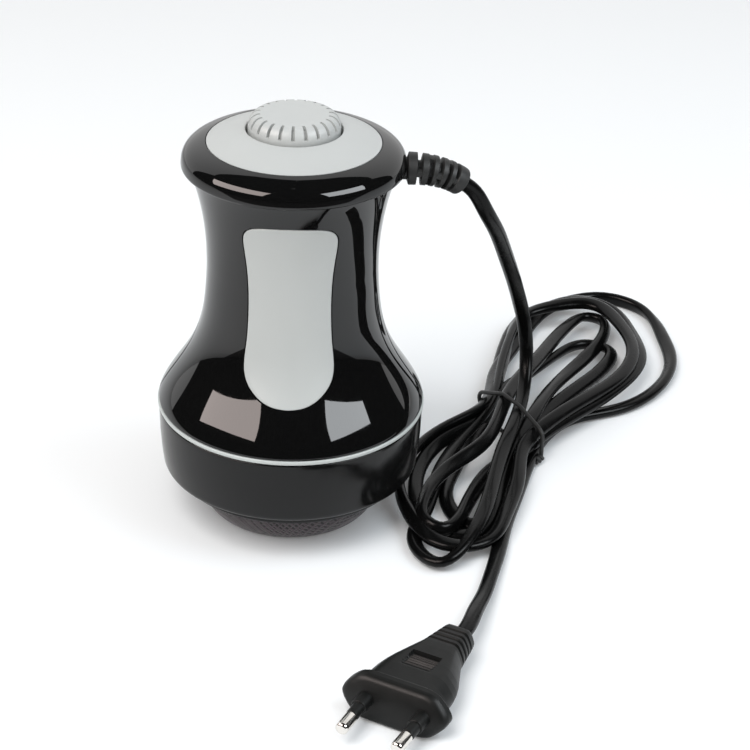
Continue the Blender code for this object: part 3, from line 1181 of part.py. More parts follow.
def smooth_route(route, spacing=ROUTE_SPACING):
    """Points on a smooth curve through the route, with its first and last steps straight."""
    knots = np.array(route, float)
    steps = np.linalg.norm(np.diff(knots, axis=0), axis=1)
    along = np.concatenate([[0.0], np.cumsum(steps)])
    bend = spline_bends(knots, steps)
    points = [knots[0]]
    pieces = max(2, round((along[-2] - along[1]) / spacing))
    for reach in np.linspace(along[1], along[-2], pieces + 1):
        index = min(int(np.searchsorted(along, reach, side="right")) - 1, len(knots) - 2)
        width = steps[index]
        left = along[index + 1] - reach
        right = reach - along[index]
        point = (bend[index] * left ** 3 + bend[index + 1] * right ** 3) / (6 * width)
        point = point + (knots[index] / width - bend[index] * width / 6) * left
        point = point + (knots[index + 1] / width - bend[index + 1] * width / 6) * right
        points.append(point)
    points.append(knots[-1])
    return np.array(points)


def tube(name, points, radius, finish, bevel):
    """A round tube along points, with its ends filled."""
    curve = bpy.data.curves.new(name, "CURVE")
    curve.dimensions = "3D"
    curve.bevel_depth = radius
    curve.bevel_resolution = bevel
    curve.use_fill_caps = True
    curve.twist_mode = "MINIMUM"
    spline = curve.splines.new("POLY")
    spline.points.add(len(points) - 1)
    for target, point in zip(spline.points, points):
        target.co = (*point, 1.0)
    curve.materials.append(material(*finish))
    made = bpy.data.objects.new(name, curve)
    bpy.context.scene.collection.objects.link(made)
    return made


def smoothstep(value):
    value = min(1.0, max(0.0, value))
    return value * value * (3 - 2 * value)


def hank_axes():
    along = np.array([math.cos(HANK_DIRECTION), math.sin(HANK_DIRECTION)])
    across = np.array([along[1], -along[0]])
    return along, across


def hank_inward(turns):
    """How many steps in from the outermost loop the cord lies: it spirals in, then out."""
    quarter = 0.25
    from_middle = abs(turns - HANK_LAYER_LOOPS)
    if from_middle < quarter:
        return HANK_LAYER_LOOPS - quarter + (quarter ** 2 - from_middle ** 2) / (2 * quarter)
    return HANK_LAYER_LOOPS - from_middle


def hank_point(turns):
    """A point after so many turns: along the hank, across it, and its height."""
    quarters = int(4 * turns)
    outward = 4 * turns - quarters
    if quarters % 2:
        outward = 1 - outward
    upper = quarters % 4 in (2, 3)
    side = 1 if quarters % 4 in (0, 3) else -1
    inward = hank_inward(turns)
    waist = HANK_WAIST_HALF_WIDTH - inward * HANK_WAIST_STEP
    if upper:
        reach = HANK_REACH_UP - inward * HANK_REACH_STEP_UP
        fold = HANK_FOLD_UP - inward * HANK_FOLD_STEP_UP
    else:
        reach = HANK_REACH_DOWN - inward * HANK_REACH_STEP_DOWN
        fold = HANK_FOLD_DOWN - inward * HANK_FOLD_STEP_DOWN
    run = reach - fold
    passed = outward * (run + QUARTER_TURN * fold * HANK_FOLD_WEIGHT)
    if passed < run:
        along = passed
        across = waist + (fold - waist) * smoothstep(passed / run)
    else:
        angle = (passed - run) / (fold * HANK_FOLD_WEIGHT)
        along = run + fold * math.sin(angle)
        across = fold * math.cos(angle)
    along *= 1 if upper else -1
    across *= side
    shift = HANK_SHIFT_UP if upper else HANK_SHIFT_DOWN
    across += shift * along ** 2 / (along ** 2 + HANK_SHIFT_REACH ** 2)
    stray = (turns - HANK_STRAY_TURN) / HANK_BUMP_WIDTH_TURNS
    across += HANK_STRAY_LOOP * math.exp(-(stray ** 2))
    low = (turns - HANK_LOW_TURN) / HANK_BUMP_WIDTH_TURNS
    along -= HANK_LOW_LOOP * math.exp(-(low ** 2))
    lowered = smoothstep(2 * (turns - HANK_LAYER_LOOPS) + 0.5)
    height = HANK_BOTTOM_HEIGHT + (1 - lowered) * HANK_LAYER_PITCH
    height += HANK_LIFT * math.exp(-((along / HANK_LIFT_REACH) ** 2))
    return along, across, height


def hank_points():
    """The hank's centre line, from the lead that lies on top to the tail underneath."""
    along_axis, across_axis = hank_axes()
    centre = np.array(HANK_CENTRE)
    start_across = float((np.array(HANK_START) - centre) @ across_axis)
    count = round((HANK_END_TURN - HANK_START_TURN) * HANK_POINTS_PER_LOOP)
    points = []
    for turns in np.linspace(HANK_START_TURN, HANK_END_TURN, count + 1):
        along, across, height = hank_point(turns)
        settled = smoothstep((turns - HANK_START_TURN) / HANK_SETTLE_TURNS)
        across = start_across + settled * (across - start_across)
        dropped = smoothstep((turns - HANK_DROP_START_TURN) / HANK_DROP_TURNS)
        height += HANK_LAYER_PITCH * (1 - dropped)
        flat = centre + along * along_axis + across * across_axis
        points.append((flat[0], flat[1], height))
    return np.array(points)


def straight_ends(points, length):
    """The points with one more at each end, in line with the end's own direction."""
    first = points[0] - points[1]
    last = points[-1] - points[-2]
    head = points[0] + first / np.linalg.norm(first) * length
    tail = points[-1] + last / np.linalg.norm(last) * length
    return np.vstack([head, points, tail])


def least_gap(points, diameter):
    """The least free space between stretches of a tube that aren't next to each other."""
    fine = []
    for near, far in zip(points, points[1:]):
        for share in np.linspace(0.0, 1.0, 8, endpoint=False):
            fine.append(near + share * (far - near))
    fine = np.array(fine)
    steps = np.linalg.norm(np.diff(fine, axis=0), axis=1)
    reach = np.concatenate([[0.0], np.cumsum(steps)])
    least = math.inf
    for index, point in enumerate(fine):
        apart = reach - reach[index] > 5 * diameter
        if apart.any():
            least = min(least, float(np.linalg.norm(fine[apart] - point, axis=1).min()))
    return least - diameter


def end_pair(own_end, before):
    """Where a free stretch meets the hank's end: its last point, and the one before it."""
    direction = own_end - before
    direction = direction / np.linalg.norm(direction)
    stop = own_end + direction * SEAT_GAP
    return tuple(stop), tuple(stop + direction * CORD_DIAMETER)


def make_cord():
    """Lead from the relief, hank, and tail to the plug."""
    hank = straight_ends(hank_points(), CORD_DIAMETER)
    print("least gap of the hank to itself, mm:", round(least_gap(hank, CORD_DIAMETER) / MM, 2))
    tube("cord_hank", hank, CORD_RADIUS, CORD_BLACK, FORM_BEVEL_STEPS)
    tip, direction = relief_tip()
    start = tip + direction * SEAT_GAP
    lead_stop, lead_before = end_pair(hank[0], hank[1])
    lead = (tuple(start), tuple(start + direction * CORD_DIAMETER)) + LEAD_ROUTE
    lead = smooth_route(lead + (lead_before, lead_stop))
    tube("lead_cord", lead, CORD_RADIUS, CORD_BLACK, CORD_BEVEL_STEPS)
    tail_stop, tail_after = end_pair(hank[-1], hank[-2])
    end, inward = plug_cord_end()
    tail = (tail_stop, tail_after) + TAIL_ROUTE
    tail += (tuple(end - inward * CORD_DIAMETER), tuple(end))
    tube("tail_cord", smooth_route(tail), CORD_RADIUS, CORD_BLACK, CORD_BEVEL_STEPS)
    tube("inner_lead", smooth_route(INNER_LEAD_ROUTE), CORD_RADIUS, CORD_BLACK, CORD_BEVEL_STEPS)
    make_tie(hank, lead)


def tie_crossings(*lines):
    """Where the cord passes through the tie's slanted plane: across the hank, and height."""
    along_axis, across_axis = hank_axes()
    centre = np.array(HANK_CENTRE)
    found = []
    for line in lines:
        flat = line[:, :2] - centre
        across = flat @ across_axis
        past = flat @ along_axis - TIE_MIDDLE - TIE_SLOPE * across
        for index in range(len(line) - 1):
            if past[index] * past[index + 1] < 0 and line[index, 2] < TIE_HIGHEST:
                share = past[index] / (past[index] - past[index + 1])
                height = line[index, 2] + share * (line[index + 1, 2] - line[index, 2])
                place = across[index] + share * (across[index + 1] - across[index])
                found.append((float(place), float(height)))
    return found


def hull(points):
    """The points of the convex outline, in order, from the one with the least first value."""
    ordered = sorted(set(points))
    halves = []
    for run in (ordered, ordered[::-1]):
        half = []
        for point in run:
            while len(half) > 1 and (
                (half[-1][0] - half[-2][0]) * (point[1] - half[-2][1])
                - (half[-1][1] - half[-2][1]) * (point[0] - half[-2][0])
            ) <= 0:
                half.pop()
            half.append(point)
        halves += half[:-1]
    return halves


def make_tie(hank, lead):
    """The thin wire tie drawn round the waist of the hank and the lead on top of it."""
    along_axis, across_axis = hank_axes()
    centre = np.array(HANK_CENTRE)
    clear = CORD_RADIUS + TIE_RADIUS + TIE_GAP
    circles = []
    for place, height in tie_crossings(hank, lead):
        for index in range(TIE_CIRCLE_POINTS):
            angle = FULL_TURN * (index + 0.5) / TIE_CIRCLE_POINTS
            circles.append((place + clear * math.cos(angle),
                            max(height + clear * math.sin(angle), TIE_RADIUS + TIE_FLOOR_GAP)))
    loop = hull(circles)
    first, last = loop[0], loop[-1]
    out = TIE_END_LENGTH
    loop = [(first[0] - out, first[1])] + loop + [(last[0] - out / 4, last[1]),
                                                  (last[0] - out, last[1] + out / 4)]
    points = []
    for index, (across, height) in enumerate(loop):
        apart = TIE_ENDS_APART * (index / (len(loop) - 1) - 0.5)
        along = TIE_MIDDLE + TIE_SLOPE * across + apart
        flat = centre + along * along_axis + across * across_axis
        points.append((flat[0], flat[1], height))
    tube("twist_tie", np.array(points), TIE_RADIUS, RUBBER_BLACK, FORM_BEVEL_STEPS)


def relief_direction(share):
    """The strand's direction along the relief: straight out, then drooping and leaning back."""
    bend = RELIEF_DROOP * share ** RELIEF_BEND_POWER
    fall = math.sin(bend)
    return np.array([math.cos(bend), fall * math.sin(RELIEF_LEAN), -fall * math.cos(RELIEF_LEAN)])


def relief_line(share):
    """A point and a direction on the strain relief's bent axis, outside the cap."""
    point = np.array([CAP_RADIUS + SEAT_GAP, 0.0, CORD_EXIT_HEIGHT])
    for index in range(RELIEF_LINE_PIECES):
        middle = share * (index + 0.5) / RELIEF_LINE_PIECES
        point = point + relief_direction(middle) * RELIEF_LENGTH * share / RELIEF_LINE_PIECES
    return point, relief_direction(share)


def relief_tip():
    return relief_line(1.0)


def make_relief():
    """The ribbed rubber sleeve where the lead leaves the cap."""
    stations = [
        (np.array([RELIEF_START, 0.0, CORD_EXIT_HEIGHT]), np.array([1.0, 0.0, 0.0]),
         RELIEF_NECK_RADIUS)
    ]
    base, straight = relief_line(0.0)
    stations.append((base, straight, RELIEF_NECK_RADIUS))
    for rib in range(RELIEF_RIBS):
        radius = RELIEF_FLANGE_RADIUS
        radius += (RELIEF_TIP_RADIUS - RELIEF_FLANGE_RADIUS) * rib / (RELIEF_RIBS - 1)
        start = rib / RELIEF_RIBS
        end = (rib + RELIEF_RIB_SHARE) / RELIEF_RIBS
        if rib == RELIEF_RIBS - 1:
            end = 1.0
        for share in (start, end):
            point, direction = relief_line(share)
            stations.append((point, direction, radius))
        if rib < RELIEF_RIBS - 1:
            for share in (end, (rib + 1) / RELIEF_RIBS):
                point, direction = relief_line(share)
                stations.append((point, direction, RELIEF_CORE_RADIUS))
    sections = []
    for point, direction, radius in stations:
        side = np.cross(np.array([0.0, 0.0, 1.0]), direction)
        side = side / np.linalg.norm(side)
        up = np.cross(direction, side)
        ring = []
        for index in range(RELIEF_SIDES):
            angle = FULL_TURN * index / RELIEF_SIDES
            ring.append(tuple(point + radius * (math.cos(angle) * side + math.sin(angle) * up)))
        sections.append(ring)
    lofted("strain_relief", sections, RUBBER_BLACK)


def make_clamp():
    """The block that grips the lead on the collar's shelf."""
    depth, width = CLAMP_SIZE
    bottom = SHELF_TOP + SEAT_GAP
    top = CORD_EXIT_HEIGHT + CORD_RADIUS + SEAT_GAP + CLAMP_TOP_WALL
    clamp = block("cable_clamp", (CLAMP_PLACE - depth / 2, -width / 2, bottom),
                  (CLAMP_PLACE + depth / 2, width / 2, top), INNER_PLASTIC)
    bore = CORD_RADIUS + SEAT_GAP
    hole = turned("clamp_bore", ((0.0, -depth), (bore, -depth), (bore, depth), (0.0, depth)),
                  INNER_PLASTIC, SMALL_STEPS)
    hole.location = (CLAMP_PLACE, 0.0, CORD_EXIT_HEIGHT)
    hole.rotation_euler = (0.0, QUARTER_TURN, 0.0)
    cut(clamp, hole)
    for number, side in enumerate((-1, 1)):
        place = (CLAMP_PLACE, side * CLAMP_SCREW_OFFSET)
        cut(clamp, pillar("clamp_hole_" + str(number), SCREW_HOLE, bottom - OVERRUN,
                          top + OVERRUN, INNER_PLASTIC, place=place))
        screw("clamp_screw_" + str(number + 1), (*place, top + SEAT_GAP), (0.0, 0.0, -1.0),
              top - SHELF_BOTTOM)


def plug_matrix():
    """Turns plug places (width, back from the face, up) into the scene's."""
    turn = Matrix.Rotation(PLUG_DIRECTION + QUARTER_TURN, 4, "Z")
    lift = PLUG_THICKNESS / 2 + PLUG_LIFT
    return Matrix.Translation((*PLUG_BASE, lift)) @ turn


def plug_cord_end():
    """Where the tail stops before the plug, and the direction in which it arrives."""
    placed = plug_matrix()
    end = placed @ Vector((0.0, PLUG_LENGTH + SEAT_GAP, 0.0))
    inward = placed.to_3x3() @ Vector((0.0, -1.0, 0.0))
    return np.array(end), np.array(inward)


def make_plug():
    """Moulded plug body with a grooved relief, two pins and their sleeves."""
    outlines = list(PLUG_SHARES)
    steps = 2 * PLUG_GROOVE_COUNT
    for step in range(1, steps + 2):
        share = step / (steps + 1)
        width = PLUG_RELIEF_START_SHARES[0]
        width += (PLUG_RELIEF_END_SHARES[0] - width) * share
        height = PLUG_RELIEF_START_SHARES[1]
        height += (PLUG_RELIEF_END_SHARES[1] - height) * share
        length = 1 - PLUG_RELIEF_LENGTH_SHARE * (1 - share)
        dip = PLUG_GROOVE_DEPTH if step % 2 == 1 and step < steps + 1 else 0.0
        outlines.append((length, width - 2 * dip / PLUG_WIDTH, height - 2 * dip / PLUG_THICKNESS))
    half = list(PLUG_SECTION_SHARES)
    section = half + [(-x, -y) for x, y in half]
    sections = []
    for length, width, height in outlines:
        sections.append([
            (x * PLUG_WIDTH / 2 * width, length * PLUG_LENGTH, y * PLUG_THICKNESS / 2 * height)
            for x, y in section
        ])
    plug = lofted("plug_body", sections, PLUG_BLACK)
    plug.matrix_world = plug_matrix()
    for number, side in enumerate((-1, 1)):
        local = Matrix.Translation((side * PIN_SPACING / 2, -SEAT_GAP, 0.0))
        local = local @ Matrix.Rotation(side * -PIN_TILT, 4, "Z")
        local = local @ Matrix.Rotation(QUARTER_TURN, 4, "X")
        tip = PIN_LENGTH
        bare = PIN_SLEEVE_LENGTH + SEAT_GAP
        pin = turned("plug_pin_" + str(number + 1), (
            (0.0, 0.0), (PIN_CORE_RADIUS, 0.0), (PIN_CORE_RADIUS, bare), (PLUG_PIN_RADIUS, bare),
            (PLUG_PIN_RADIUS, tip - PLUG_PIN_RADIUS * 0.7),
            (PLUG_PIN_RADIUS * 0.75, tip - PLUG_PIN_RADIUS * 0.2), (0.0, tip)),
            NICKEL, SMALL_STEPS)
        pin.matrix_world = plug_matrix() @ local
        bore = PIN_CORE_RADIUS + SEAT_GAP
        sleeve = turned("pin_sleeve_" + str(number + 1), (
            (bore, 0.0), (PIN_SLEEVE_RADIUS, 0.0), (PIN_SLEEVE_RADIUS, PIN_SLEEVE_LENGTH),
            (bore, PIN_SLEEVE_LENGTH)), PLUG_BLACK, SMALL_STEPS)
        sleeve.matrix_world = plug_matrix() @ local


def main():
    clear_scene()
    make_cover()
    make_head()
    make_rotor()
    make_motor()
    make_skirt()
    make_trim()
    for name, panel, facing in (("front_shell", "front_panel", -1), ("rear_shell", "rear_panel", 1)):
        make_shell(name, facing)
        make_panel(panel, facing)
    make_shell_screws()
    make_collar()
    make_cap()
    make_insert()
    make_dial()
    make_speed_control()
    make_clamp()
    make_relief()
    make_cord()
    make_plug()


main()
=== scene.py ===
"""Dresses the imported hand-held massager: shells, cap, dial, net cover, mains lead and plug."""

import json
import math

import bmesh
import bpy
import numpy as np
from mathutils import Matrix, Vector

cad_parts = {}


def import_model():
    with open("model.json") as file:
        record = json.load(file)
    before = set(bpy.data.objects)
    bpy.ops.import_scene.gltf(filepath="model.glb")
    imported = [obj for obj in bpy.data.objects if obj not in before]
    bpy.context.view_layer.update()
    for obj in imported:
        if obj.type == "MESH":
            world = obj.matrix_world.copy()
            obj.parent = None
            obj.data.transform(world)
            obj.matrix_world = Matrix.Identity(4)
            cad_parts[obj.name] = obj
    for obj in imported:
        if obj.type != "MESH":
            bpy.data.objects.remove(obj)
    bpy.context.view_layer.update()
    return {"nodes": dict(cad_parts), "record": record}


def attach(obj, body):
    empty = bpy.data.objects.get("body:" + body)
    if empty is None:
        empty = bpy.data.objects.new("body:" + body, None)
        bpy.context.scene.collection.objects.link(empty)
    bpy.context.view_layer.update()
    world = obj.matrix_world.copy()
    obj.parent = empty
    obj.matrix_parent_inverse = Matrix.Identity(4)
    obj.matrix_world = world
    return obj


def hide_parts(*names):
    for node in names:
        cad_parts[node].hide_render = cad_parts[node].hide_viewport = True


MM = 0.001
FULL_TURN = 2 * math.pi
QUARTER_TURN = math.pi / 2

# Finishes: marks for each metre, and the heights of grain and net in metres
TONE_SCALE = 90.0
SMEAR_SCALE = 279.0
GRAIN_HEIGHT = 0.00005
NET_HEIGHT = 0.0002
WHITE = (1.0, 1.0, 1.0, 1.0)

# All sizes below are in millimetres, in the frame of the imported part. A corner is its radius,
# its height and its rounding.
FINE_COLUMNS = 128
SHARP_ANGLE = math.radians(38)
SAME_PLACE = 0.001
FILLET_ROOM_SHARE = 0.49
GAP = 0.3

# Body: two half shells, with a panel let into each
FOOT_RADIUS = 44.15
FOOT_HEIGHT = 41.0
WAIST_RADIUS = 27.7
WAIST_HEIGHT = 90.5
SHOULDER_RADIUS = 32.1
SHOULDER_HEIGHT = 120.2
SHELL_TOP = 123.3
BODY_WALL = 2.6
LOWER_FLARE_SHARES = (
    (0.0, 0.0), (0.25, 0.037), (0.41, 0.12), (0.556, 0.254), (0.677, 0.439), (0.778, 0.605),
    (0.859, 0.779), (0.939, 0.941), (1.0, 1.0),
)
UPPER_FLARE_SHARES = (
    (0.0, 0.0), (0.18, 0.02), (0.36, 0.105), (0.52, 0.24), (0.66, 0.4), (0.79, 0.58),
    (0.9, 0.79), (1.0, 1.0),
)
FLARE_POWERS = (2, 3, 4, 5)
FLARE_END_WEIGHT = 30.0
SHELL_ROWS = 90
SHELL_COLUMNS = 84
SHELL_LIP = 0.3
PARTING_SET_BACK = 0.15
PARTING_EDGE = ((0.0, 0.35), (0.08, 0.17), (0.2, 0.05), (0.4, 0.0))
PANEL_LINE = (
    (0.5, 114.9), (6.1, 114.6), (10.5, 114.0), (12.8, 113.2), (14.4, 111.9), (15.2, 110.2),
    (15.3, 108.2), (14.95, 105.0), (14.2, 99.5), (13.65, 93.0), (13.5, 87.0), (13.65, 80.5),
    (14.15, 73.5), (14.75, 68.5), (14.85, 65.5), (14.2, 62.3), (12.2, 59.3), (9.0, 56.8),
    (5.0, 55.25), (0.5, 54.75),
)
PANEL_ROWS = 110
PANEL_COLUMNS = 15
PANEL_EDGE_INSETS = (0.0, 0.08, 0.2, 0.35, 0.5)
PANEL_EDGE_SHARE = 0.9
PANEL_PROUD = 0.15
PANEL_THICKNESS = 1.3
PANEL_EDGE_ROUND = 0.45
BAY_DEPTH = 1.5
BAY_ABOVE = 2.0
SCREW_WELL_RADIUS = 2.7
SCREW_WELLS = tuple((side * 23.05, height) for side in (-1, 1) for height in (66.0, 107.5))
SCREW_WELL_FLOOR = 6.0
SCREW_WELL_LENGTH = 40.0
SCREW_WELL_COLUMNS = 32
CUT_SLIVER = 0.0005
ON_SURFACE = 0.03
ALIGNED = 0.9

# Foot: trim ring, skirt, hoop and net
TRIM_CORNERS = ((39.3, 39.2, 0.2), (44.3, 39.2, 0.55), (44.3, 40.7, 0.45), (39.3, 40.7, 0.2))
SKIRT_TOP_RADIUS = 43.9
SKIRT_TOP_CORNERS = (
    (42.0, 38.9, 0.0), (SKIRT_TOP_RADIUS, 38.9, 0.4), (SKIRT_TOP_RADIUS, 37.0, 0.0),
)
SKIRT_EDGE_SET_IN = 2.3
SKIRT_BOTTOM = 16.7
SKIRT_TOP = 38.9
SKIRT_SHARES = ((0.45, 0.10), (0.72, 0.28), (0.88, 0.45), (0.96, 0.68))
SKIRT_FOOT = (40.9, 16.75)
SKIRT_ROWS = 40
SKIRT_INSIDE_CORNERS = (
    (41.0, 16.7, 0.0), (36.0, 16.7, 0.35), (36.0, 18.7, 0.35), (39.3, 18.7, 0.5),
    (41.6, 22.0, 1.0), (41.6, 36.7, 1.0), (14.0, 36.7, 0.4), (14.0, 38.9, 0.4),
)
HOOP_CORNERS = (
    (33.5, 13.9, 0.4), (38.9, 13.9, 0.6), (38.9, 16.4, 0.4), (35.7, 16.4, 0.2),
    (35.7, 20.5, 0.4), (33.5, 20.5, 0.4),
)
NET_FLAT_RADIUS = 24.5
NET_FLAT_ROWS = 7
NET_BULGE = 6.4
NET_BULGE_HEIGHT = 11.0
NET_BULGE_ROWS = 24
NET_RIM = ((32.05, 12.15), (33.2, 13.9), (33.2, 19.0))
NET_THICKNESS = 0.6
NET_THREAD_PITCH = 2.1
NET_THREADS = ((1.0, 1.0, 1.0), (-1.0, 1.0, 1.0), (1.0, -1.0, 1.0))
# Painted shade: this colour darkens the net's holes between the threads
NET_HOLE_SHADE = (0.06, 0.05, 0.055, 1.0)
NET_HOLE_SHARE = 0.15

# Cap, insert and dial
COLLAR_CORNERS = (
    (28.0, 120.5, 0.2), (29.2, 120.5, 0.2), (29.2, 123.5, 0.0), (33.3, 123.5, 0.1),
    (33.3, 123.9, 0.1), (28.0, 123.9, 0.1),
)
CAP_LINE = (
    (34.75, 123.2), (35.3, 123.5), (35.55, 124.15), (35.53, 124.9), (35.07, 127.15),
    (33.85, 128.88), (31.99, 130.1), (29.8, 130.96), (27.8, 131.5),
)
CAP_ROWS = 40
CAP_INSIDE_CORNERS = (
    (27.8, 131.5, 0.0), (27.8, 129.4, 0.2), (25.4, 129.4, 0.3), (25.4, 127.6, 0.3),
    (31.0, 127.0, 1.0), (33.6, 125.0, 0.6), (33.6, 123.2, 0.2), (34.5, 123.2, 0.0),
)
INSERT_LINE = ((27.5, 131.5), (23.6, 133.18), (19.7, 134.54), (15.3, 135.75))
INSERT_ROWS = 24
INSERT_ROWS_KEPT = 16
INSERT_INSIDE_CORNERS = (
    (19.0, 134.74, 0.0), (15.3, 135.75, 0.35), (15.3, 128.7, 0.3), (4.0, 128.7, 0.2),
    (4.0, 126.9, 0.2), (17.9, 126.9, 0.3), (17.9, 132.0, 0.5), (25.6, 129.9, 0.3),
    (27.5, 129.9, 0.2), (27.5, 131.2, 0.0),
)
DIAL_RADIUS = 14.6
DIAL_BOTTOM = 129.3
DIAL_TOP = 140.6
DIAL_SHOULDER = (3.6, 4.6)
DIAL_SHOULDER_ROWS = (4, 16)
DIAL_FOOT_ROWS = ((0.3, 0.0), (0.0, 0.3), (0.0, 3.0))
DIAL_TOP_SHARES = (1.0, 0.92, 0.75, 0.5, 0.25, 0.0)
DIAL_HOLLOW = ((0.0, 137.6), (9.0, 137.6), (12.6, 134.5), (12.6, DIAL_BOTTOM))
DIAL_SLOTS = 22
DIAL_RIB_SHARES = (0.2, 0.4, 0.6, 0.8)
SLOT_DEPTH = 1.5
SLOT_HALF_WIDTH = 0.46
SLOT_EDGE = 0.12
SLOT_FROM = math.radians(14)
SLOT_START = math.radians(2.2)
SLOT_END_RADIUS = 10.75

# Strain relief
RELIEF_OUT = 35.85
RELIEF_NECK = (27.4, 31.625, 35.45)
CORD_EXIT_HEIGHT = 123.2
RELIEF_NECK_RADIUS = 3.6
RELIEF_FLANGE_RADIUS = 5.25
RELIEF_TIP_RADIUS = 4.6
RELIEF_CORE_RADIUS = 2.75
RELIEF_LENGTH = 18.3
RELIEF_DROOP = math.radians(42)
RELIEF_LEAN = math.radians(25)
RELIEF_GAPS = ((0.190, 0.088), (0.370, 0.080), (0.515, 0.076), (0.660, 0.072), (0.790, 0.064))
RELIEF_GAP_EDGE = 0.016
RELIEF_ROWS = 144
RELIEF_BEND_POWER = 1.3
RELIEF_LINE_PIECES = 24
RELIEF_COLUMNS = 48
RELIEF_END_ROUND = 0.45
RELIEF_BRIDGES = (math.radians(12), math.radians(22))
RELIEF_BRIDGE_EDGE = 0.15
RELIEF_BRIDGE_SHARE = 0.9

# Mains lead: its route from the relief to the plug, and one row for each half turn of the hank
CORD_DIAMETER = 4.4
CORD_RADIUS = CORD_DIAMETER / 2
CORD_WIDTH = 5.3
CORD_THICKNESS = 3.4
CORD_ARC_CENTRE = (CORD_WIDTH - CORD_THICKNESS) / 2
CORD_ARC_STEPS = 8
CORD_CROWN_SHARE = 0.515
CORD_SHARP_ANGLE = math.radians(70)
CORD_STEP = 2.0
CORD_FLOOR_GAP = 0.05
LEAD_ROUTE = (
    (60.9, 5.8, 107.8), (65.3, 12.0, 98.0), (68.5, 20.0, 88.5), (71.6, 29.0, 78.0),
    (74.9, 39.0, 66.5), (77.6, 48.0, 56.2), (79.9, 55.4, 47.0), (81.7, 60.0, 39.2),
    (83.1, 61.5, 31.0), (83.6, 58.4, 21.7), (82.6, 51.0, 15.4),
)
HANK_HALF_TURNS = (
    ((80.5, 41.0, 12.8), (73.5, 16.0, 11.0), (67.5, -12.0, 9.5), (61.0, -32.0, 7.5),
     (50.5, -42.5, 3.0), (43.0, -33.5, 2.4), (45.5, -14.5, 3.5), (51.5, 11.0, 4.5),
     (61.0, 35.0, 5.0), (70.5, 53.0, 6.5)),
    ((76.0, 77.0, 7.5), (81.0, 103.5, 8.0), (91.0, 126.5, 8.5), (102.5, 129.5, 10.5),
     (114.5, 130.0, 11.0), (124.0, 115.0, 11.0), (127.0, 90.0, 10.5), (119.5, 71.0, 10.5),
     (103.5, 52.0, 10.5), (87.5, 32.5, 10.0)),
    ((81.5, 22.5, 9.0), (78.5, 5.5, 7.0), (73.0, -16.5, 5.5), (63.5, -34.0, 5.0),
     (52.5, -35.5, 5.5), (41.5, -21.0, 6.0), (37.5, 0.5, 6.5), (43.0, 21.0, 7.0),
     (54.5, 37.5, 7.5), (67.0, 50.0, 8.0)),
    ((74.0, 79.0, 5.5), (80.5, 99.5, 4.0), (89.5, 121.5, 4.0), (100.5, 138.0, 5.5),
     (111.0, 141.0, 7.0), (121.5, 135.5, 7.5), (129.0, 115.5, 7.5), (130.0, 91.0, 7.5),
     (120.5, 71.0, 7.5), (104.5, 51.5, 7.5), (88.5, 33.5, 7.0)),
    ((80.5, 24.0, 5.5), (72.0, 16.0, 4.5), (63.5, -1.0, 5.0), (59.5, -13.5, 5.5),
     (56.0, -23.5, 6.0), (51.0, -28.5, 6.5), (46.0, -26.0, 7.5), (45.0, -16.5, 8.5),
     (48.5, -5.0, 9.5), (56.0, 6.5, 10.5), (65.5, 17.0, 11.8)),
    ((72.5, 34.0, 12.5), (77.0, 51.5, 12.5), (90.0, 84.0, 10.0), (100.5, 110.5, 7.0),
     (107.0, 122.5, 6.5), (113.0, 128.0, 6.2), (118.5, 126.0, 6.0), (119.5, 117.5, 6.0),
     (115.0, 104.0, 6.0), (104.5, 85.0, 6.5), (94.0, 65.5, 7.5), (86.0, 44.5, 8.5)),
    ((80.5, 30.0, 7.0), (75.5, 13.5, 4.5), (69.5, -10.0, 3.5), (59.5, -26.5, 3.0),
     (49.0, -23.0, 3.5), (43.0, -5.5, 4.0), (45.0, 14.5, 4.5), (54.5, 33.0, 5.0),
     (68.5, 48.0, 5.0)),
    ((76.5, 66.5, 5.5), (88.5, 84.5, 4.5), (100.0, 100.5, 4.0), (111.5, 109.0, 4.0),
     (119.5, 105.5, 4.0), (117.0, 91.5, 4.0), (106.0, 74.5, 4.5), (94.5, 58.0, 5.0),
     (85.0, 42.0, 5.0)),
    ((80.5, 24.5, 3.5), (75.0, 4.0, 2.4), (69.0, -12.5, 2.4), (61.5, -19.5, 2.6),
     (54.5, -9.5, 2.8), (56.0, 12.0, 3.0), (63.5, 35.5, 3.0), (72.5, 58.0, 2.8)),
    ((75.0, 78.0, 2.4), (80.0, 109.0, 2.2), (89.0, 133.5, 2.0), (104.5, 147.0, 1.9),
     (123.0, 152.0, 1.9), (136.5, 143.5, 1.9), (143.0, 121.5, 1.9), (143.0, 97.0, 1.9),
     (131.5, 73.0, 1.9), (118.0, 62.0, 1.9), (103.0, 55.0, 1.9), (90.0, 39.5, 2.2)),
)
TAIL_ROUTE = (
    (83.0, 21.0, 2.4), (77.5, 0.0, 2.2), (72.5, -19.5, 2.0), (69.5, -35.5, 2.1),
    (66.5, -49.0, 2.6), (63.5, -61.5, 3.6), (60.5, -72.0, 5.4),
)
HANK_CENTRE = np.array((79.5, 52.2))
HANK_ALONG = np.array((math.cos(math.radians(71)), math.sin(math.radians(71))))
HANK_ACROSS = np.array((HANK_ALONG[1], -HANK_ALONG[0]))
TWIST_WAVES = ((173.0, 0.55, 1.0), (97.0, 0.40, 2.2), (311.0, 0.45, 0.4))
TWIST_FADE = 60.0

# Tie round the hank
TIE_RADIUS = 0.75
TIE_GAP = 0.4
TIE_MIDDLE = -8.4
TIE_SLOPE = -0.79
TIE_CIRCLE_POINTS = 24
TIE_HIGHEST = 20.0
TIE_FLOOR_GAP = 0.1
TIE_PIGTAIL = 4.5
TIE_PIGTAIL_STEPS = 24
TIE_PIGTAIL_INWARD = 1.5
TIE_PIGTAIL_HEIGHT = 2.2
TIE_END_SHARE = 0.55
TIE_TWISTS = 1.0
TIE_TWIST_RADIUS = 0.8

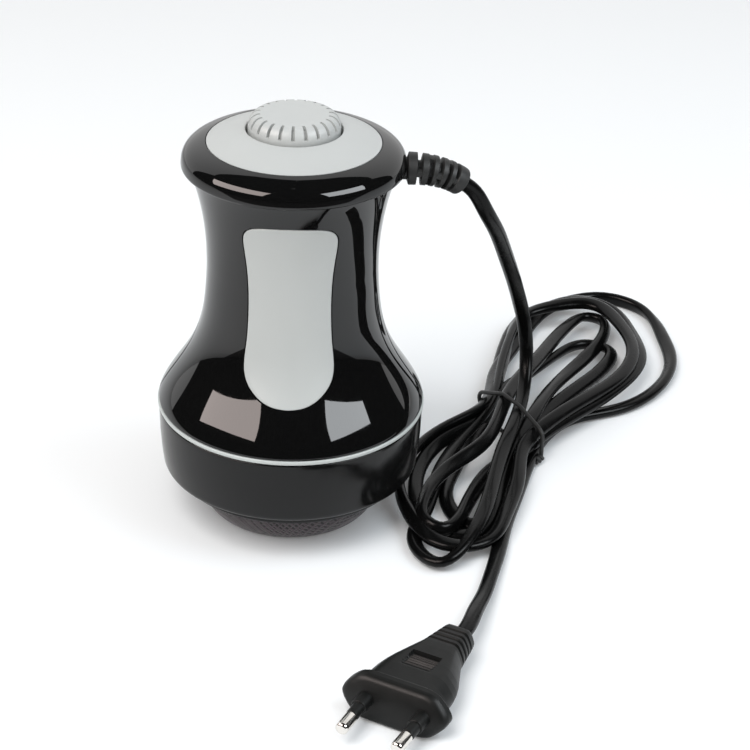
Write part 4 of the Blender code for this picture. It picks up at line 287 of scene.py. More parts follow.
# Plug
PLUG_BASE = (35.9, -120.9)
PLUG_DIRECTION = math.radians(-117.3)
PLUG_WIDTH = 34.7
PLUG_THICKNESS = 13.7
PLUG_LENGTH = 40.6
PLUG_LIFT = 0.05
PLUG_FORWARD = 3.3
PLUG_SWAY = (-0.6, 1.9)
PLUG_SHARES = (
    (0.000, 0.88, 0.80), (0.012, 0.94, 0.91), (0.030, 0.985, 0.98), (0.055, 1.00, 1.00),
    (0.108, 1.00, 1.00), (0.116, 0.98, 1.00), (0.122, 0.83, 0.99), (0.200, 0.80, 0.98),
    (0.300, 0.785, 0.97), (0.370, 0.75, 0.955), (0.445, 0.69, 0.94), (0.530, 0.60, 0.92),
    (0.616, 0.51, 0.90), (0.690, 0.435, 0.87), (0.960, 0.325, 0.70), (0.985, 0.315, 0.66),
    (1.000, 0.28, 0.58),
)
PLUG_SECTION_SHARES = (
    (1.00, 0.00), (0.95, 0.30), (0.84, 0.62), (0.72, 0.88), (0.60, 0.98), (0.50, 1.00),
    (-0.50, 1.00), (-0.60, 0.98), (-0.72, 0.88), (-0.84, 0.62), (-0.95, 0.30),
)
PLUG_FLAT_SHARE = 0.50
PLUG_FLAT_COLUMNS = 26
PLUG_SIDE_COLUMNS = 4
PLUG_ROWS = (1.5, 40.0, 60)
PLUG_SHARP_ANGLE = math.radians(55)
FACE_LEAN = math.tan(math.radians(14))
FACE_LEAN_REACH = 8.0
PLUG_GROOVES = (0.735, 0.795, 0.855, 0.915)
PLUG_GROOVE_WIDTH = 1.2
PLUG_GROOVE_DEPTH = 0.75
PLUG_GROOVE_FLAT_SHARE = 0.2
PLUG_GROOVE_ROW_SHARES = (-0.5, -0.36, -0.2, 0.2, 0.36, 0.5)
PATCH_HALF_WIDTH = 4.8
PATCH_WIDTH_SHARE = 0.9
PATCH_COLUMN = 10
PATCH_FROM = 12.2
PATCH_TO = 20.8
PATCH_DEPTH = 1.0
PATCH_MARGIN = 0.15
PATCH_RIBS = 7
PATCH_RIB_ROWS = 5
PATCH_RIB_HEIGHT = 0.5
PATCH_RIB_RISE = 4
PIN_SPACING = 18.6
PIN_LENGTH = 19.0
PIN_RADIUS = 2.0
PIN_CORE_RADIUS = 1.2
PIN_SLEEVE_RADIUS = 1.95
PIN_SLEEVE_LENGTH = 12.0
PIN_COLLAR_RADIUS = 2.45
PIN_COLLAR_LENGTH = 7.6
PIN_TILT = math.radians(1.6)
PIN_COLUMNS = 40
PIN_CORNERS = (
    (0.0, 0.0, 0.0), (PIN_CORE_RADIUS, 0.0, 0.0), (PIN_CORE_RADIUS, PIN_SLEEVE_LENGTH + GAP, 0.0),
    (PIN_RADIUS, PIN_SLEEVE_LENGTH + GAP, 0.25), (PIN_RADIUS, PIN_LENGTH, 1.2),
    (0.0, PIN_LENGTH, 0.0),
)
PIN_ROUND_STEPS = 8
PIN_SLEEVE_CORNERS = (
    (PIN_CORE_RADIUS + GAP, 0.0, 0.0), (PIN_COLLAR_RADIUS, 0.0, 0.0),
    (PIN_COLLAR_RADIUS, PIN_COLLAR_LENGTH, 0.3), (PIN_SLEEVE_RADIUS, PIN_COLLAR_LENGTH, 0.1),
    (PIN_SLEEVE_RADIUS, PIN_SLEEVE_LENGTH, 0.35), (PIN_CORE_RADIUS + GAP, PIN_SLEEVE_LENGTH, 0.15),
)

# Camera, as fitted to the photograph
CAMERA_PLACE = (17.7, -595.3, 379.5)
CAMERA_PITCH = math.radians(29.08)
CAMERA_YAW = math.radians(0.97)
CAMERA_ROLL = math.radians(2.01)
CAMERA_LENS = 98.38
CAMERA_SENSOR = 36.0
CAMERA_CLIPS = (50.0, 20000.0)

# Studio: angles are seen from its centre, azimuth from the front toward the right
FLOOR_REACH = 3000.0
FLOOR_DROP = 0.06
FLOOR_LIFT = 0.08
FLOOR_COLOUR = (0.88, 0.88, 0.88, 1.0)
STUDIO_CENTRE = Vector((0.0, 0.0, 80.0))
DARK_COLOUR = (0.01, 0.01, 0.01, 1.0)
DARK_REACH = 1900.0
DARK_COLUMNS = 32
DARK_ROWS = 20
DARK_SIDE = math.radians(115)
DARK_LOW = math.radians(-9)
DARK_HIGH = math.radians(89)
DARK_WIDENS = (math.radians(45), math.radians(60))
PAPER_EDGE = 275.0
DARK_CARD_RADIUS = 110.0
# Rows of the card: azimuth in degrees and height at its left, and the same at its right
DARK_CARD = (
    (70, 0, 84, 0), (73, 19, 89, 28), (78, 33, 96, 38), (82, 42, 101, 44), (86, 48, 106, 47),
    (94, 50.5, 114, 48), (102, 54, 123, 50), (109, 59, 131, 54),
)
LIGHT_REACH = 1150.0
# Lights: name, (azimuth, elevation, roll) in degrees, (width, height), tint, radiance
SOFTBOXES = (
    ("softbox_left", (-61.5, 36.5, 14.2), (1130.0, 575.0), (1.0, 0.88, 0.84), 7.5),
    ("softbox_right", (60.0, 37.1, -9.0), (785.0, 535.0), (0.93, 0.97, 1.0), 8.5),
)
MATTE_LIGHTS = (
    ("key_light", (-35.0, 55.0, 0.0), (700.0, 700.0), (1.0, 1.0, 1.0), 6.3),
    ("fill_light", (75.0, 50.0, 0.0), (700.0, 700.0), (0.85, 1.0, 1.12), 2.5),
)
WORLD_LIGHT = 0.56
WORLD_SHOWN = 1.0


# Materials

def connect(tree, target, inputs):
    """Sets inputs of a shader node to values, or links them from sockets."""
    for name, value in inputs.items():
        if isinstance(value, bpy.types.NodeSocket):
            tree.links.new(value, target.inputs[name])
        else:
            target.inputs[name].default_value = value


def node(tree, kind, inputs):
    """A shader node with its inputs set or linked."""
    made = tree.nodes.new(kind)
    connect(tree, made, inputs)
    return made


def math_node(tree, operation, *inputs, kind="ShaderNodeMath"):
    """The result of a maths operation on values or sockets."""
    made = tree.nodes.new(kind)
    made.operation = operation
    connect(tree, made, dict(enumerate(inputs)))
    return made.outputs["Value"]


def mix_colours(tree, factor, first, second, blend="MIX"):
    made = tree.nodes.new("ShaderNodeMix")
    made.data_type = "RGBA"
    made.blend_type = blend
    connect(tree, made, {"Factor": factor, "A": first, "B": second})
    return made.outputs["Result"]


def highest(tree, sockets):
    top = sockets[0]
    for socket in sockets[1:]:
        top = math_node(tree, "MAXIMUM", top, socket)
    return top


def place_of(tree):
    """The place in the object's own coordinates."""
    return tree.nodes.new("ShaderNodeTexCoord").outputs["Object"]


def noise(tree, scale, detail=3.0):
    """Noise in the object's own coordinates, with scale in marks for each metre."""
    made = node(tree, "ShaderNodeTexNoise",
                {"Vector": place_of(tree), "Scale": scale, "Detail": detail})
    return made.outputs["Fac"]


def new_material(name, inputs):
    """A material, its node tree and its shader, with the shader's inputs set."""
    made = bpy.data.materials.new(name)
    made.use_nodes = True
    shader = made.node_tree.nodes["Principled BSDF"]
    connect(made.node_tree, shader, inputs)
    return made, made.node_tree, shader


def finish(name, colour, roughness, metallic=0.0, tone=0.06, rough_spread=0.04, grain=0.0,
           grain_scale=2500.0, sheen=0.0, specular=0.5):
    """A plain moulded or metal finish, with slight variation of tone and gloss, and grain."""
    made, tree, shader = new_material(name, {
        "Metallic": metallic, "Sheen Weight": sheen, "Specular IOR Level": specular})
    made.diffuse_color = (*colour, 1.0)
    darker, lighter = ((*[min(1.0, value * change) for value in colour], 1.0)
                       for change in (1 - tone, 1 + tone))
    shade = mix_colours(tree, noise(tree, TONE_SCALE), darker, lighter)
    smears = node(tree, "ShaderNodeMapRange", {
        "Value": noise(tree, SMEAR_SCALE, detail=5.0), "From Min": 0.3, "From Max": 0.7,
        "To Min": max(0.01, roughness - rough_spread), "To Max": roughness + rough_spread})
    connect(tree, shader, {"Base Color": shade, "Roughness": smears.outputs["Result"]})
    if grain:
        bump = node(tree, "ShaderNodeBump", {
            "Height": noise(tree, grain_scale, detail=2.0), "Strength": grain,
            "Distance": GRAIN_HEIGHT})
        connect(tree, shader, {"Normal": bump.outputs["Normal"]})
    return made


def net_finish(name, colour):
    """Fine knitted net: three sets of slanting threads, with painted shade darkening the holes
    between them.
    """
    made = finish(name, colour, 0.75, tone=0.15, sheen=0.4)
    tree = made.node_tree
    shader = tree.nodes["Principled BSDF"]
    place = place_of(tree)
    waves = []
    for direction in NET_THREADS:
        across = math_node(tree, "DOT_PRODUCT", place, direction, kind="ShaderNodeVectorMath")
        phase = math_node(tree, "MULTIPLY", across, FULL_TURN / (NET_THREAD_PITCH * MM))
        waves.append(math_node(tree, "SINE", phase))
    level = node(tree, "ShaderNodeMapRange", {
        "Value": highest(tree, waves), "From Min": NET_HOLE_SHARE, "From Max": 1.0}).outputs["Result"]
    # Painted shade in the holes between the threads; the thread pattern itself is the net's own
    hole_shade = mix_colours(tree, level, NET_HOLE_SHADE, WHITE)
    plain = shader.inputs["Base Color"].links[0].from_socket
    shade = mix_colours(tree, 1.0, plain, hole_shade, "MULTIPLY")
    bump = node(tree, "ShaderNodeBump",
                {"Height": level, "Strength": 0.8, "Distance": NET_HEIGHT})
    connect(tree, shader, {"Base Color": shade, "Normal": bump.outputs["Normal"]})
    return made


def make_finishes():
    """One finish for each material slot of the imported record."""
    return {
        "gloss_black": finish("gloss black plastic", (0.0035, 0.0035, 0.0035), 0.03,
                              rough_spread=0.015),
        "satin_black": finish("satin black plastic", (0.005, 0.005, 0.005), 0.15,
                              grain=0.04, grain_scale=1800.0, specular=0.29),
        "soft_grey": finish("fine-grained grey plastic", (0.475, 0.481, 0.468), 0.42, tone=0.015,
                            grain=0.35, grain_scale=1400.0),
        "panel_grey": finish("smooth grey plastic", (0.458, 0.469, 0.455), 0.40, tone=0.02,
                             grain=0.12),
        "trim_grey": finish("grey trim plastic", (0.505, 0.53, 0.515), 0.36, tone=0.02),
        "net_brown": net_finish("knitted net", (0.072, 0.054, 0.062)),
        "rubber_black": finish("matte rubber", (0.021, 0.021, 0.0205), 0.50, tone=0.12,
                               grain=0.4, grain_scale=1600.0, specular=0.4),
        "cord_black": finish("soft cord sheath", (0.003, 0.003, 0.003), 0.24, tone=0.15,
                             rough_spread=0.05, grain=0.10, grain_scale=900.0, specular=0.15),
        "plug_black": finish("moulded plug", (0.0065, 0.0068, 0.0064), 0.42, tone=0.12,
                             grain=0.35, grain_scale=1900.0, specular=0.28),
        "nickel": finish("bright nickel", (0.80, 0.77, 0.73), 0.16, metallic=1.0, tone=0.05,
                         rough_spread=0.05),
        "steel": finish("turned steel", (0.58, 0.58, 0.58), 0.32, metallic=1.0, grain=0.1),
        "zinc": finish("zinc plate", (0.66, 0.67, 0.68), 0.38, metallic=1.0, tone=0.1),
        "ferrite": finish("ferrite", (0.09, 0.09, 0.09), 0.7, tone=0.2, grain=0.5),
        "lamination": finish("laminated core", (0.33, 0.25, 0.20), 0.5, metallic=0.8,
                             tone=0.25, grain=0.4),
        "inner_plastic": finish("natural plastic", (0.70, 0.70, 0.67), 0.5, grain=0.2),
        "board_green": finish("circuit board", (0.04, 0.20, 0.08), 0.45, tone=0.2, grain=0.2),
        "capacitor_yellow": finish("film capacitor", (0.72, 0.55, 0.07), 0.4, grain=0.2),
        "pot_metal": finish("stamped metal", (0.55, 0.55, 0.54), 0.4, metallic=1.0),
        "aluminium": finish("cast aluminium", (0.75, 0.75, 0.76), 0.42, metallic=1.0,
                            grain=0.3),
        "head_white": finish("white head plastic", (0.78, 0.77, 0.74), 0.4, grain=0.15),
    }


def dress_nodes(frame, finishes):
    """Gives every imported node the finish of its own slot."""
    slots = {entry["slot"]: finishes[entry["slot"]] for entry in frame["record"]["materials"]}
    for thing in frame["nodes"].values():
        for holder in thing.material_slots:
            name = holder.material.name.split(".")[0] if holder.material else ""
            holder.material = slots.get(name, finishes["inner_plastic"])


# Mesh helpers

def new_object(name, data):
    thing = bpy.data.objects.new(name, data)
    bpy.context.scene.collection.objects.link(thing)
    return thing


def new_mesh(name, points, faces, material):
    """A mesh object from points in millimetres."""
    mesh = bpy.data.meshes.new(name)
    mesh.from_pydata([[MM * value for value in point] for point in points], [], faces)
    mesh.materials.append(material)
    return new_object(name, mesh)


def reshape(mesh, change, sharp=SHARP_ANGLE):
    """Changes a mesh, and marks the edges that are sharper than the angle."""
    maker = bmesh.new()
    maker.from_mesh(mesh)
    change(maker)
    for edge in maker.edges:
        edge.smooth = len(edge.link_faces) == 2 and edge.calc_face_angle() < sharp
    maker.to_mesh(mesh)
    maker.free()


def close_up(maker):
    """Joins points that fall together, turns the faces outward and makes them smooth."""
    bmesh.ops.remove_doubles(maker, verts=maker.verts, dist=SAME_PLACE * MM)
    bmesh.ops.recalc_face_normals(maker, faces=maker.faces)
    for face in maker.faces:
        face.smooth = True


def solid(name, points, faces, material, sharp=SHARP_ANGLE):
    """A closed body from points in millimetres, smooth but for edges sharper than the angle."""
    thing = new_mesh(name, points, faces, material)
    reshape(thing.data, close_up, sharp)
    return thing


def unit(vector):
    return vector / np.linalg.norm(vector)


def rounded(corners, steps=5):
    """The closed outline of (radius, height, fillet) corners, with the corners rounded."""
    result = []
    for index, (radius, height, fillet) in enumerate(corners):
        here = np.array((radius, height))
        if not fillet:
            result.append((radius, height))
            continue
        to_before = np.array(corners[index - 1][:2]) - here
        to_after = np.array(corners[(index + 1) % len(corners)][:2]) - here
        room = FILLET_ROOM_SHARE * min(np.linalg.norm(to_before), np.linalg.norm(to_after))
        to_before, to_after = unit(to_before), unit(to_after)
        half = math.acos(np.clip(to_before @ to_after, -1, 1)) / 2
        back = min(fillet / math.tan(half), room)
        centre = here + unit(to_before + to_after) * back / math.cos(half)
        first = here + to_before * back - centre
        last = here + to_after * back - centre
        sweep = math.pi - 2 * half
        for step in range(steps + 1):
            share = step / steps
            arm = math.sin((1 - share) * sweep) * first + math.sin(share * sweep) * last
            result.append(tuple(centre + arm / math.sin(sweep)))
    return result


def looped(name, rings, material):
    """A closed solid over rings, the last joined to the first. A ring may be a single point."""
    count = max(len(ring) for ring in rings)
    points = []
    rows = []
    for ring in rings:
        first = len(points)
        points += ring
        rows.append([first] * count if len(ring) == 1 else list(range(first, first + count)))
    return solid(name, points, ring_faces(rows, rows[1:] + rows[:1]), material)


def turned(name, outline, material, columns=FINE_COLUMNS):
    """A solid made by turning a closed outline of (radius, height) points round the Z axis."""
    angles = [FULL_TURN * column / columns for column in range(columns)]
    rings = [[(radius * math.cos(angle), radius * math.sin(angle), height)
              for angle in (angles if radius else angles[:1])] for radius, height in outline]
    return looped(name, rings, material)


def ring_faces(near_rows, far_rows):
    """Faces between rings of point numbers, leaving out the ones that close to a line."""
    faces = []
    for near, far in zip(near_rows, far_rows):
        count = len(near)
        for index in range(count):
            after = (index + 1) % count
            corners = (near[index], near[after], far[after], far[index])
            face = tuple(dict.fromkeys(corners))
            if len(face) > 2:
                faces.append(face)
    return faces


def skinned(name, rings, material, sharp=SHARP_ANGLE):
    """A closed solid over rings that have the same number of points."""
    count = len(rings[0])
    points = [point for ring in rings for point in ring]
    rows = [list(range(level * count, (level + 1) * count)) for level in range(len(rings))]
    faces = ring_faces(rows[:-1], rows[1:])
    faces.append(tuple(rows[0]))
    faces.append(tuple(rows[-1]))
    return solid(name, points, faces, material, sharp)


def spline_bends(knots, steps):
    """The second derivatives of a natural cubic curve through the knots."""
    system = np.diag([1.0, *(2 * (steps[:-1] + steps[1:])), 1.0])
    system += np.diag([0.0, *steps[1:]], 1) + np.diag([*steps[:-1], 0.0], -1)
    rises = np.diff(knots, axis=0) / steps[:, None]
    wanted = np.zeros(knots.shape)
    wanted[1:-1] = 6 * np.diff(rises, axis=0)
    return np.linalg.solve(system, wanted)


def spline_points(knots, reaches):
    """Points on the natural cubic curve through the knots, at distances along its chords."""
    knots = np.array(knots, float)
    steps = np.linalg.norm(np.diff(knots, axis=0), axis=1)
    along = np.concatenate([[0.0], np.cumsum(steps)])
    bend = spline_bends(knots, steps)
    reach = reaches(along)
    index = np.minimum(np.searchsorted(along, reach, side="right") - 1, len(knots) - 2)
    width = steps[index][:, None]
    left = (along[index + 1] - reach)[:, None]
    right = (reach - along[index])[:, None]
    points = (bend[index] * left ** 3 + bend[index + 1] * right ** 3) / (6 * width)
    points += (knots[index] / width - bend[index] * width / 6) * left
    points += (knots[index + 1] / width - bend[index + 1] * width / 6) * right
    return points


def through(knots, count):
    """Count points on a smooth curve through the knots, with its two ends."""
    found = spline_points(knots, lambda along: np.linspace(0.0, along[-1], count))
    return [tuple(float(value) for value in point) for point in found]


def smoothstep(value):
    value = min(1.0, max(0.0, value))
    return value * value * (3 - 2 * value)


def turn_piece(finishes, name, outline, body, slot, replaced):
    """A turned piece on its body, which stands for one node."""
    return settle(turned(name, outline, finishes[slot]), body, slot, replaced)


def settle(thing, body, slot, *nodes):
    """The piece rides on the body and stands for the nodes. The slot is not used."""
    if nodes:
        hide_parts(*nodes)
    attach(thing, body)
    return thing


# Body

def fair_curve(shares):
    """The factors of the smooth power curve nearest to the shares, from 0 to exactly 1."""
    places, grown = np.array(shares).T
    table = np.stack([places ** power for power in FLARE_POWERS], axis=1)
    weight = np.where(places == 1.0, FLARE_END_WEIGHT, 1.0)
    return np.linalg.lstsq(table * weight[:, None], grown * weight, rcond=None)[0]


LOWER_FLARE = fair_curve(LOWER_FLARE_SHARES)
UPPER_FLARE = fair_curve(UPPER_FLARE_SHARES)


def body_radius(height):
    """The outer radius of the hourglass body at a height."""
    if height < WAIST_HEIGHT:
        share = (WAIST_HEIGHT - height) / (WAIST_HEIGHT - FOOT_HEIGHT)
        factors, widest = LOWER_FLARE, FOOT_RADIUS
    else:
        share = (height - WAIST_HEIGHT) / (SHOULDER_HEIGHT - WAIST_HEIGHT)
        factors, widest = UPPER_FLARE, SHOULDER_RADIUS
    grown = sum(factor * share ** power for factor, power in zip(factors, FLARE_POWERS))
    return WAIST_RADIUS + float(grown) * (widest - WAIST_RADIUS)


def body_slope(height, step=0.05):
    return (body_radius(height + step) - body_radius(height - step)) / (2 * step)


def panel_layer(grow, offset_at, facing):
    """Rows of points of a plate that follows the body, offset from it by offset_at."""
    rows = through(PANEL_LINE, PANEL_ROWS)
    middle = (rows[0][1] + rows[-1][1]) / 2
    edge = [(half + grow, height + grow * (height - middle) / (rows[0][1] - middle))
            for half, height in rows]
    outline = np.array(edge + [(-half, height) for half, height in edge[::-1]])
    layer = []
    for half, height in edge:
        inner = [PANEL_EDGE_SHARE * min(1.0, inset / half) - 1 for inset in PANEL_EDGE_INSETS]
        across = inner + list(np.linspace(inner[-1], -inner[-1], PANEL_COLUMNS)[1:-1])
        across += [-share for share in inner[::-1]]
        row = []
        for share in across:
            along = half * share
            radius = body_radius(height)
            reach = radius + offset_at(along, height, outline)
            angle = along / radius
            row.append((reach * math.sin(angle),
                        facing * (reach * math.cos(angle) + PARTING_SET_BACK), height))
        layer.append(row)
    return layer


def edge_distance(along, height, outline):
    """How far a point of the panel lies inside its outline."""
    sides = np.roll(outline, -1, axis=0) - outline
    lengths = np.maximum((sides ** 2).sum(axis=1), 1e-9)
    place = np.array((along, height))
    share = np.clip(((place - outline) * sides).sum(axis=1) / lengths, 0, 1)
    return float(np.linalg.norm(outline + share[:, None] * sides - place, axis=1).min())


def plate(name, outer, inner, material):
    """A closed plate between two layers of point rows."""
    rows, columns = len(outer), len(outer[0])
    points = [point for layer in (outer, inner) for row in layer for point in row]

    def number(layer, row, column):
        return (layer * rows + row) * columns + column

    faces = []
    for layer in (0, 1):
        for row in range(rows - 1):
            for column in range(columns - 1):
                faces.append((number(layer, row, column), number(layer, row, column + 1),
                              number(layer, row + 1, column + 1), number(layer, row + 1, column)))
    border = [(0, column) for column in range(columns)]
    border += [(row, columns - 1) for row in range(1, rows)]
    border += [(rows - 1, column) for column in range(columns - 2, -1, -1)]
    border += [(row, 0) for row in range(rows - 2, 0, -1)]
    for here, there in zip(border, border[1:] + border[:1]):
        faces.append((number(0, *here), number(0, *there), number(1, *there), number(1, *here)))
    return solid(name, points, faces, material)


def make_panel(name, facing, material):
    def outer_offset(along, height, outline):
        inside = min(edge_distance(along, height, outline), PANEL_EDGE_ROUND)
        fall = PANEL_EDGE_ROUND - inside
        return PANEL_PROUD - PANEL_EDGE_ROUND + math.sqrt(PANEL_EDGE_ROUND ** 2 - fall ** 2)

    outer = panel_layer(0.0, outer_offset, facing)
    inner = panel_layer(0.0, lambda *place: PANEL_PROUD - PANEL_THICKNESS, facing)
    return plate(name + "_plate", outer, inner, material)


def carve(target, cutters):
    """Cuts the cutters out of the target for good, and removes them."""
    for cutter in cutters:
        change = target.modifiers.new("cut", "BOOLEAN")
        change.operation = "DIFFERENCE"
        change.solver = "EXACT"
        change.object = cutter
    graph = bpy.context.evaluated_depsgraph_get()
    mesh = bpy.data.meshes.new_from_object(target.evaluated_get(graph))
    target.modifiers.clear()
    target.data = mesh
    for cutter in cutters:
        bpy.data.objects.remove(cutter)


def true_normals(thing, facing):
    """Gives corners on the body's surface its exact normals, so that cuts leave no shading."""
    mesh = thing.data
    reshape(mesh, lambda maker: bmesh.ops.dissolve_degenerate(
        maker, edges=maker.edges, dist=CUT_SLIVER * MM))
    normals = [Vector(corner.vector) for corner in mesh.corner_normals]
    for face in mesh.polygons:
        for loop in face.loop_indices:
            place = mesh.vertices[mesh.loops[loop].vertex_index].co / MM
            flat = Vector((place.x, place.y - facing * PARTING_SET_BACK))
            if abs(flat.length - body_radius(place.z)) > ON_SURFACE:
                continue
            exact = Vector((flat.x / flat.length, flat.y / flat.length, -body_slope(place.z)))
            exact.normalize()
            if exact.dot(face.normal) > ALIGNED:
                normals[loop] = exact
    mesh.normals_split_custom_set(normals)


def make_shell(name, facing, material):
    """One half of the hourglass body, with softened parting edges and a bay for its panel."""
    near = [place / WAIST_RADIUS for place, _ in PARTING_EDGE]
    angles = near + list(np.linspace(near[-1], math.pi - near[-1], SHELL_COLUMNS)[1:-1])
    angles += [math.pi - angle for angle in near[::-1]]
    drops = [drop for _, drop in PARTING_EDGE]
    drops += [0.0] * (len(angles) - 2 * len(drops)) + drops[::-1]

    def arc(radius, height, drops):
        return [((radius - drop) * math.cos(angle),
                 facing * ((radius - drop) * math.sin(angle) + PARTING_SET_BACK), height)
                for angle, drop in zip(angles, drops)]

    outer = []
    inner = []
    for height in np.linspace(FOOT_HEIGHT, SHELL_TOP, SHELL_ROWS):
        lip = SHELL_LIP if height in (FOOT_HEIGHT, SHELL_TOP) else 0.0
        radius = body_radius(height)
        outer.append(arc(radius - lip, height, drops))
        inner.append(arc(radius - BODY_WALL, height, [0.0] * len(angles)))
    shell = plate(name + "_half", outer, inner, material)
    cutters = [plate(name + "_bay", panel_layer(GAP, lambda *place: BAY_ABOVE, facing),
                     panel_layer(GAP, lambda *place: -BAY_DEPTH, facing), material)]
    if facing > 0:
        cutters += [screw_well(side, height, material) for side, height in SCREW_WELLS]
    carve(shell, cutters)
    true_normals(shell, facing)
    return shell


def screw_well(side, height, material):
    """The cutter for a screw's hole in the rear shell."""
    well = turned("well", ((0.0, 0.0), (SCREW_WELL_RADIUS, 0.0),
                           (SCREW_WELL_RADIUS, SCREW_WELL_LENGTH), (0.0, SCREW_WELL_LENGTH)),
                  material, SCREW_WELL_COLUMNS)
    well.location = (side * MM, SCREW_WELL_FLOOR * MM, height * MM)
    well.rotation_euler = (-QUARTER_TURN, 0.0, 0.0)
    bpy.context.view_layer.update()
    return well


def make_body(finishes):
    for name, panel, facing in (("front_shell", "front_panel", -1), ("rear_shell", "rear_panel", 1)):
        shell = make_shell(name, facing, finishes["gloss_black"])
        settle(shell, "housing", "gloss_black", name)
        inlay = make_panel(panel, facing, finishes["panel_grey"])
        settle(inlay, "housing", "panel_grey", panel)


# Foot and cover

def make_foot(finishes):
    """Trim ring and skirt."""
    turn_piece(finishes, "trim_band", rounded(TRIM_CORNERS), "housing", "trim_grey", "trim_ring")
    top = rounded(SKIRT_TOP_CORNERS)[1:-1]
    side = [(SKIRT_TOP_RADIUS - inward * SKIRT_EDGE_SET_IN,
             SKIRT_TOP + down * (SKIRT_BOTTOM - SKIRT_TOP)) for down, inward in SKIRT_SHARES]
    side = through([SKIRT_TOP_CORNERS[-1][:2], *side, SKIRT_FOOT], SKIRT_ROWS)
    outline = top + side + rounded(SKIRT_INSIDE_CORNERS)[1:]
    turn_piece(finishes, "skirt_wall", outline, "housing", "satin_black", "skirt")


def net_line(offset):
    """The net's outline, offset inwards, from its flat bottom to its rim inside the hoop."""
    line = []
    for step in range(NET_BULGE_ROWS + 1):
        angle = QUARTER_TURN * step / NET_BULGE_ROWS
        line.append((NET_FLAT_RADIUS + (NET_BULGE - offset) * math.sin(angle),
                     NET_BULGE_HEIGHT - (NET_BULGE_HEIGHT - offset) * math.cos(angle)))
    return line + [(radius - offset, height) for radius, height in NET_RIM]


def make_cover(finishes):
    """The net over the massage head, and the hoop that holds it."""
    turn_piece(finishes, "hoop_ring", rounded(HOOP_CORNERS), "cover", "satin_black", "cover_hoop")
    flat = np.linspace(0.0, NET_FLAT_RADIUS, NET_FLAT_ROWS + 1)[:-1]
    outer, inner = ([(radius, offset) for radius in flat] + net_line(offset)
                    for offset in (0.0, NET_THICKNESS))
    net = turn_piece(finishes, "net_cup", outer + inner[::-1], "cover", "net_brown", "mesh_cover")


# Cap and dial

def make_cap(finishes):
    """Collar ring, domed cap and the pale insert."""
    turn_piece(finishes, "collar_ring", rounded(COLLAR_CORNERS), "housing", "gloss_black",
               "cap_collar")
    dome = through(CAP_LINE, CAP_ROWS) + rounded(CAP_INSIDE_CORNERS)[1:]
    turn_piece(finishes, "cap_dome", dome, "housing", "gloss_black", "top_cap")
    crown = through(INSERT_LINE, INSERT_ROWS)[:INSERT_ROWS_KEPT] + rounded(INSERT_INSIDE_CORNERS)
    turn_piece(finishes, "insert_plate", crown, "housing", "soft_grey", "top_insert")


def dial_line():
    """(radius, height, slot depth share, outward) rows over the dial's outside and hollow."""
    wide, tall = DIAL_SHOULDER
    level = (1.0, 0.0)
    upward = (0.0, 1.0)
    rows = [(DIAL_RADIUS - inward, DIAL_BOTTOM + up, 0.0, level) for inward, up in DIAL_FOOT_ROWS]
    plain, slotted = DIAL_SHOULDER_ROWS
    turns = list(np.linspace(0.0, SLOT_FROM, plain))
    turns += list(np.linspace(SLOT_FROM + SLOT_START, QUARTER_TURN, slotted))
    for turn in turns:
        outward = unit(np.array((math.cos(turn) / wide, math.sin(turn) / tall)))
        rows.append((DIAL_RADIUS - wide + wide * math.cos(turn),
                     DIAL_TOP - tall + tall * math.sin(turn), float(turn > SLOT_FROM), outward))
    rows.append((SLOT_END_RADIUS + SLOT_EDGE, DIAL_TOP, 1.0, upward))
    rows += [(SLOT_END_RADIUS * share, DIAL_TOP, 0.0, upward) for share in DIAL_TOP_SHARES]
    return rows + [(radius, height, 0.0, upward) for radius, height in DIAL_HOLLOW]


def make_dial(finishes):
    """The domed dial, with a slot down its shoulder at every pitch."""
    pitch = FULL_TURN / DIAL_SLOTS
    floor = SLOT_HALF_WIDTH / DIAL_RADIUS
    lip = (SLOT_HALF_WIDTH + SLOT_EDGE) / DIAL_RADIUS
    offsets = [(-lip, 0.0), (-floor, 1.0), (0.0, 1.0), (floor, 1.0), (lip, 0.0)]
    offsets += [(lip + share * (pitch - 2 * lip), 0.0) for share in DIAL_RIB_SHARES]
    angles = [(slot * pitch + offset - QUARTER_TURN, deep)
              for slot in range(DIAL_SLOTS) for offset, deep in offsets]
    rings = []
    for radius, height, row_deep, outward in dial_line():
        ring = []
        for angle, deep in angles if radius else angles[:1]:
            sink = SLOT_DEPTH * row_deep * deep
            reach = radius - sink * outward[0]
            ring.append((reach * math.cos(angle), reach * math.sin(angle),
                         height - sink * outward[1]))
        rings.append(ring)
    dial = looped("dial_knob", rings, finishes["soft_grey"])
    settle(dial, "dial", "soft_grey", "speed_dial")


# Strain relief and cord

def relief_direction(share):
    """The strand's direction along the relief: straight out, then drooping and leaning back."""
    bend = RELIEF_DROOP * share ** RELIEF_BEND_POWER
    fall = math.sin(bend)
    return np.array([math.cos(bend), fall * math.sin(RELIEF_LEAN), -fall * math.cos(RELIEF_LEAN)])


def relief_line(share):
    """A point and a direction on the strain relief's bent axis, outside the cap."""
    point = np.array([RELIEF_OUT, 0.0, CORD_EXIT_HEIGHT])
    for index in range(RELIEF_LINE_PIECES):
        middle = share * (index + 0.5) / RELIEF_LINE_PIECES
        point = point + relief_direction(middle) * RELIEF_LENGTH * share / RELIEF_LINE_PIECES
    return point, relief_direction(share)


def rib_level(place):
    """(how much of a rib, which kind of gap is nearest) at a share of the relief's length."""
    aways = [abs(place - middle) for middle, _ in RELIEF_GAPS]
    level = min(smoothstep((away - width / 2 + RELIEF_GAP_EDGE) / RELIEF_GAP_EDGE)
                for away, (_, width) in zip(aways, RELIEF_GAPS))
    return level, int(np.argmin(aways)) % 2


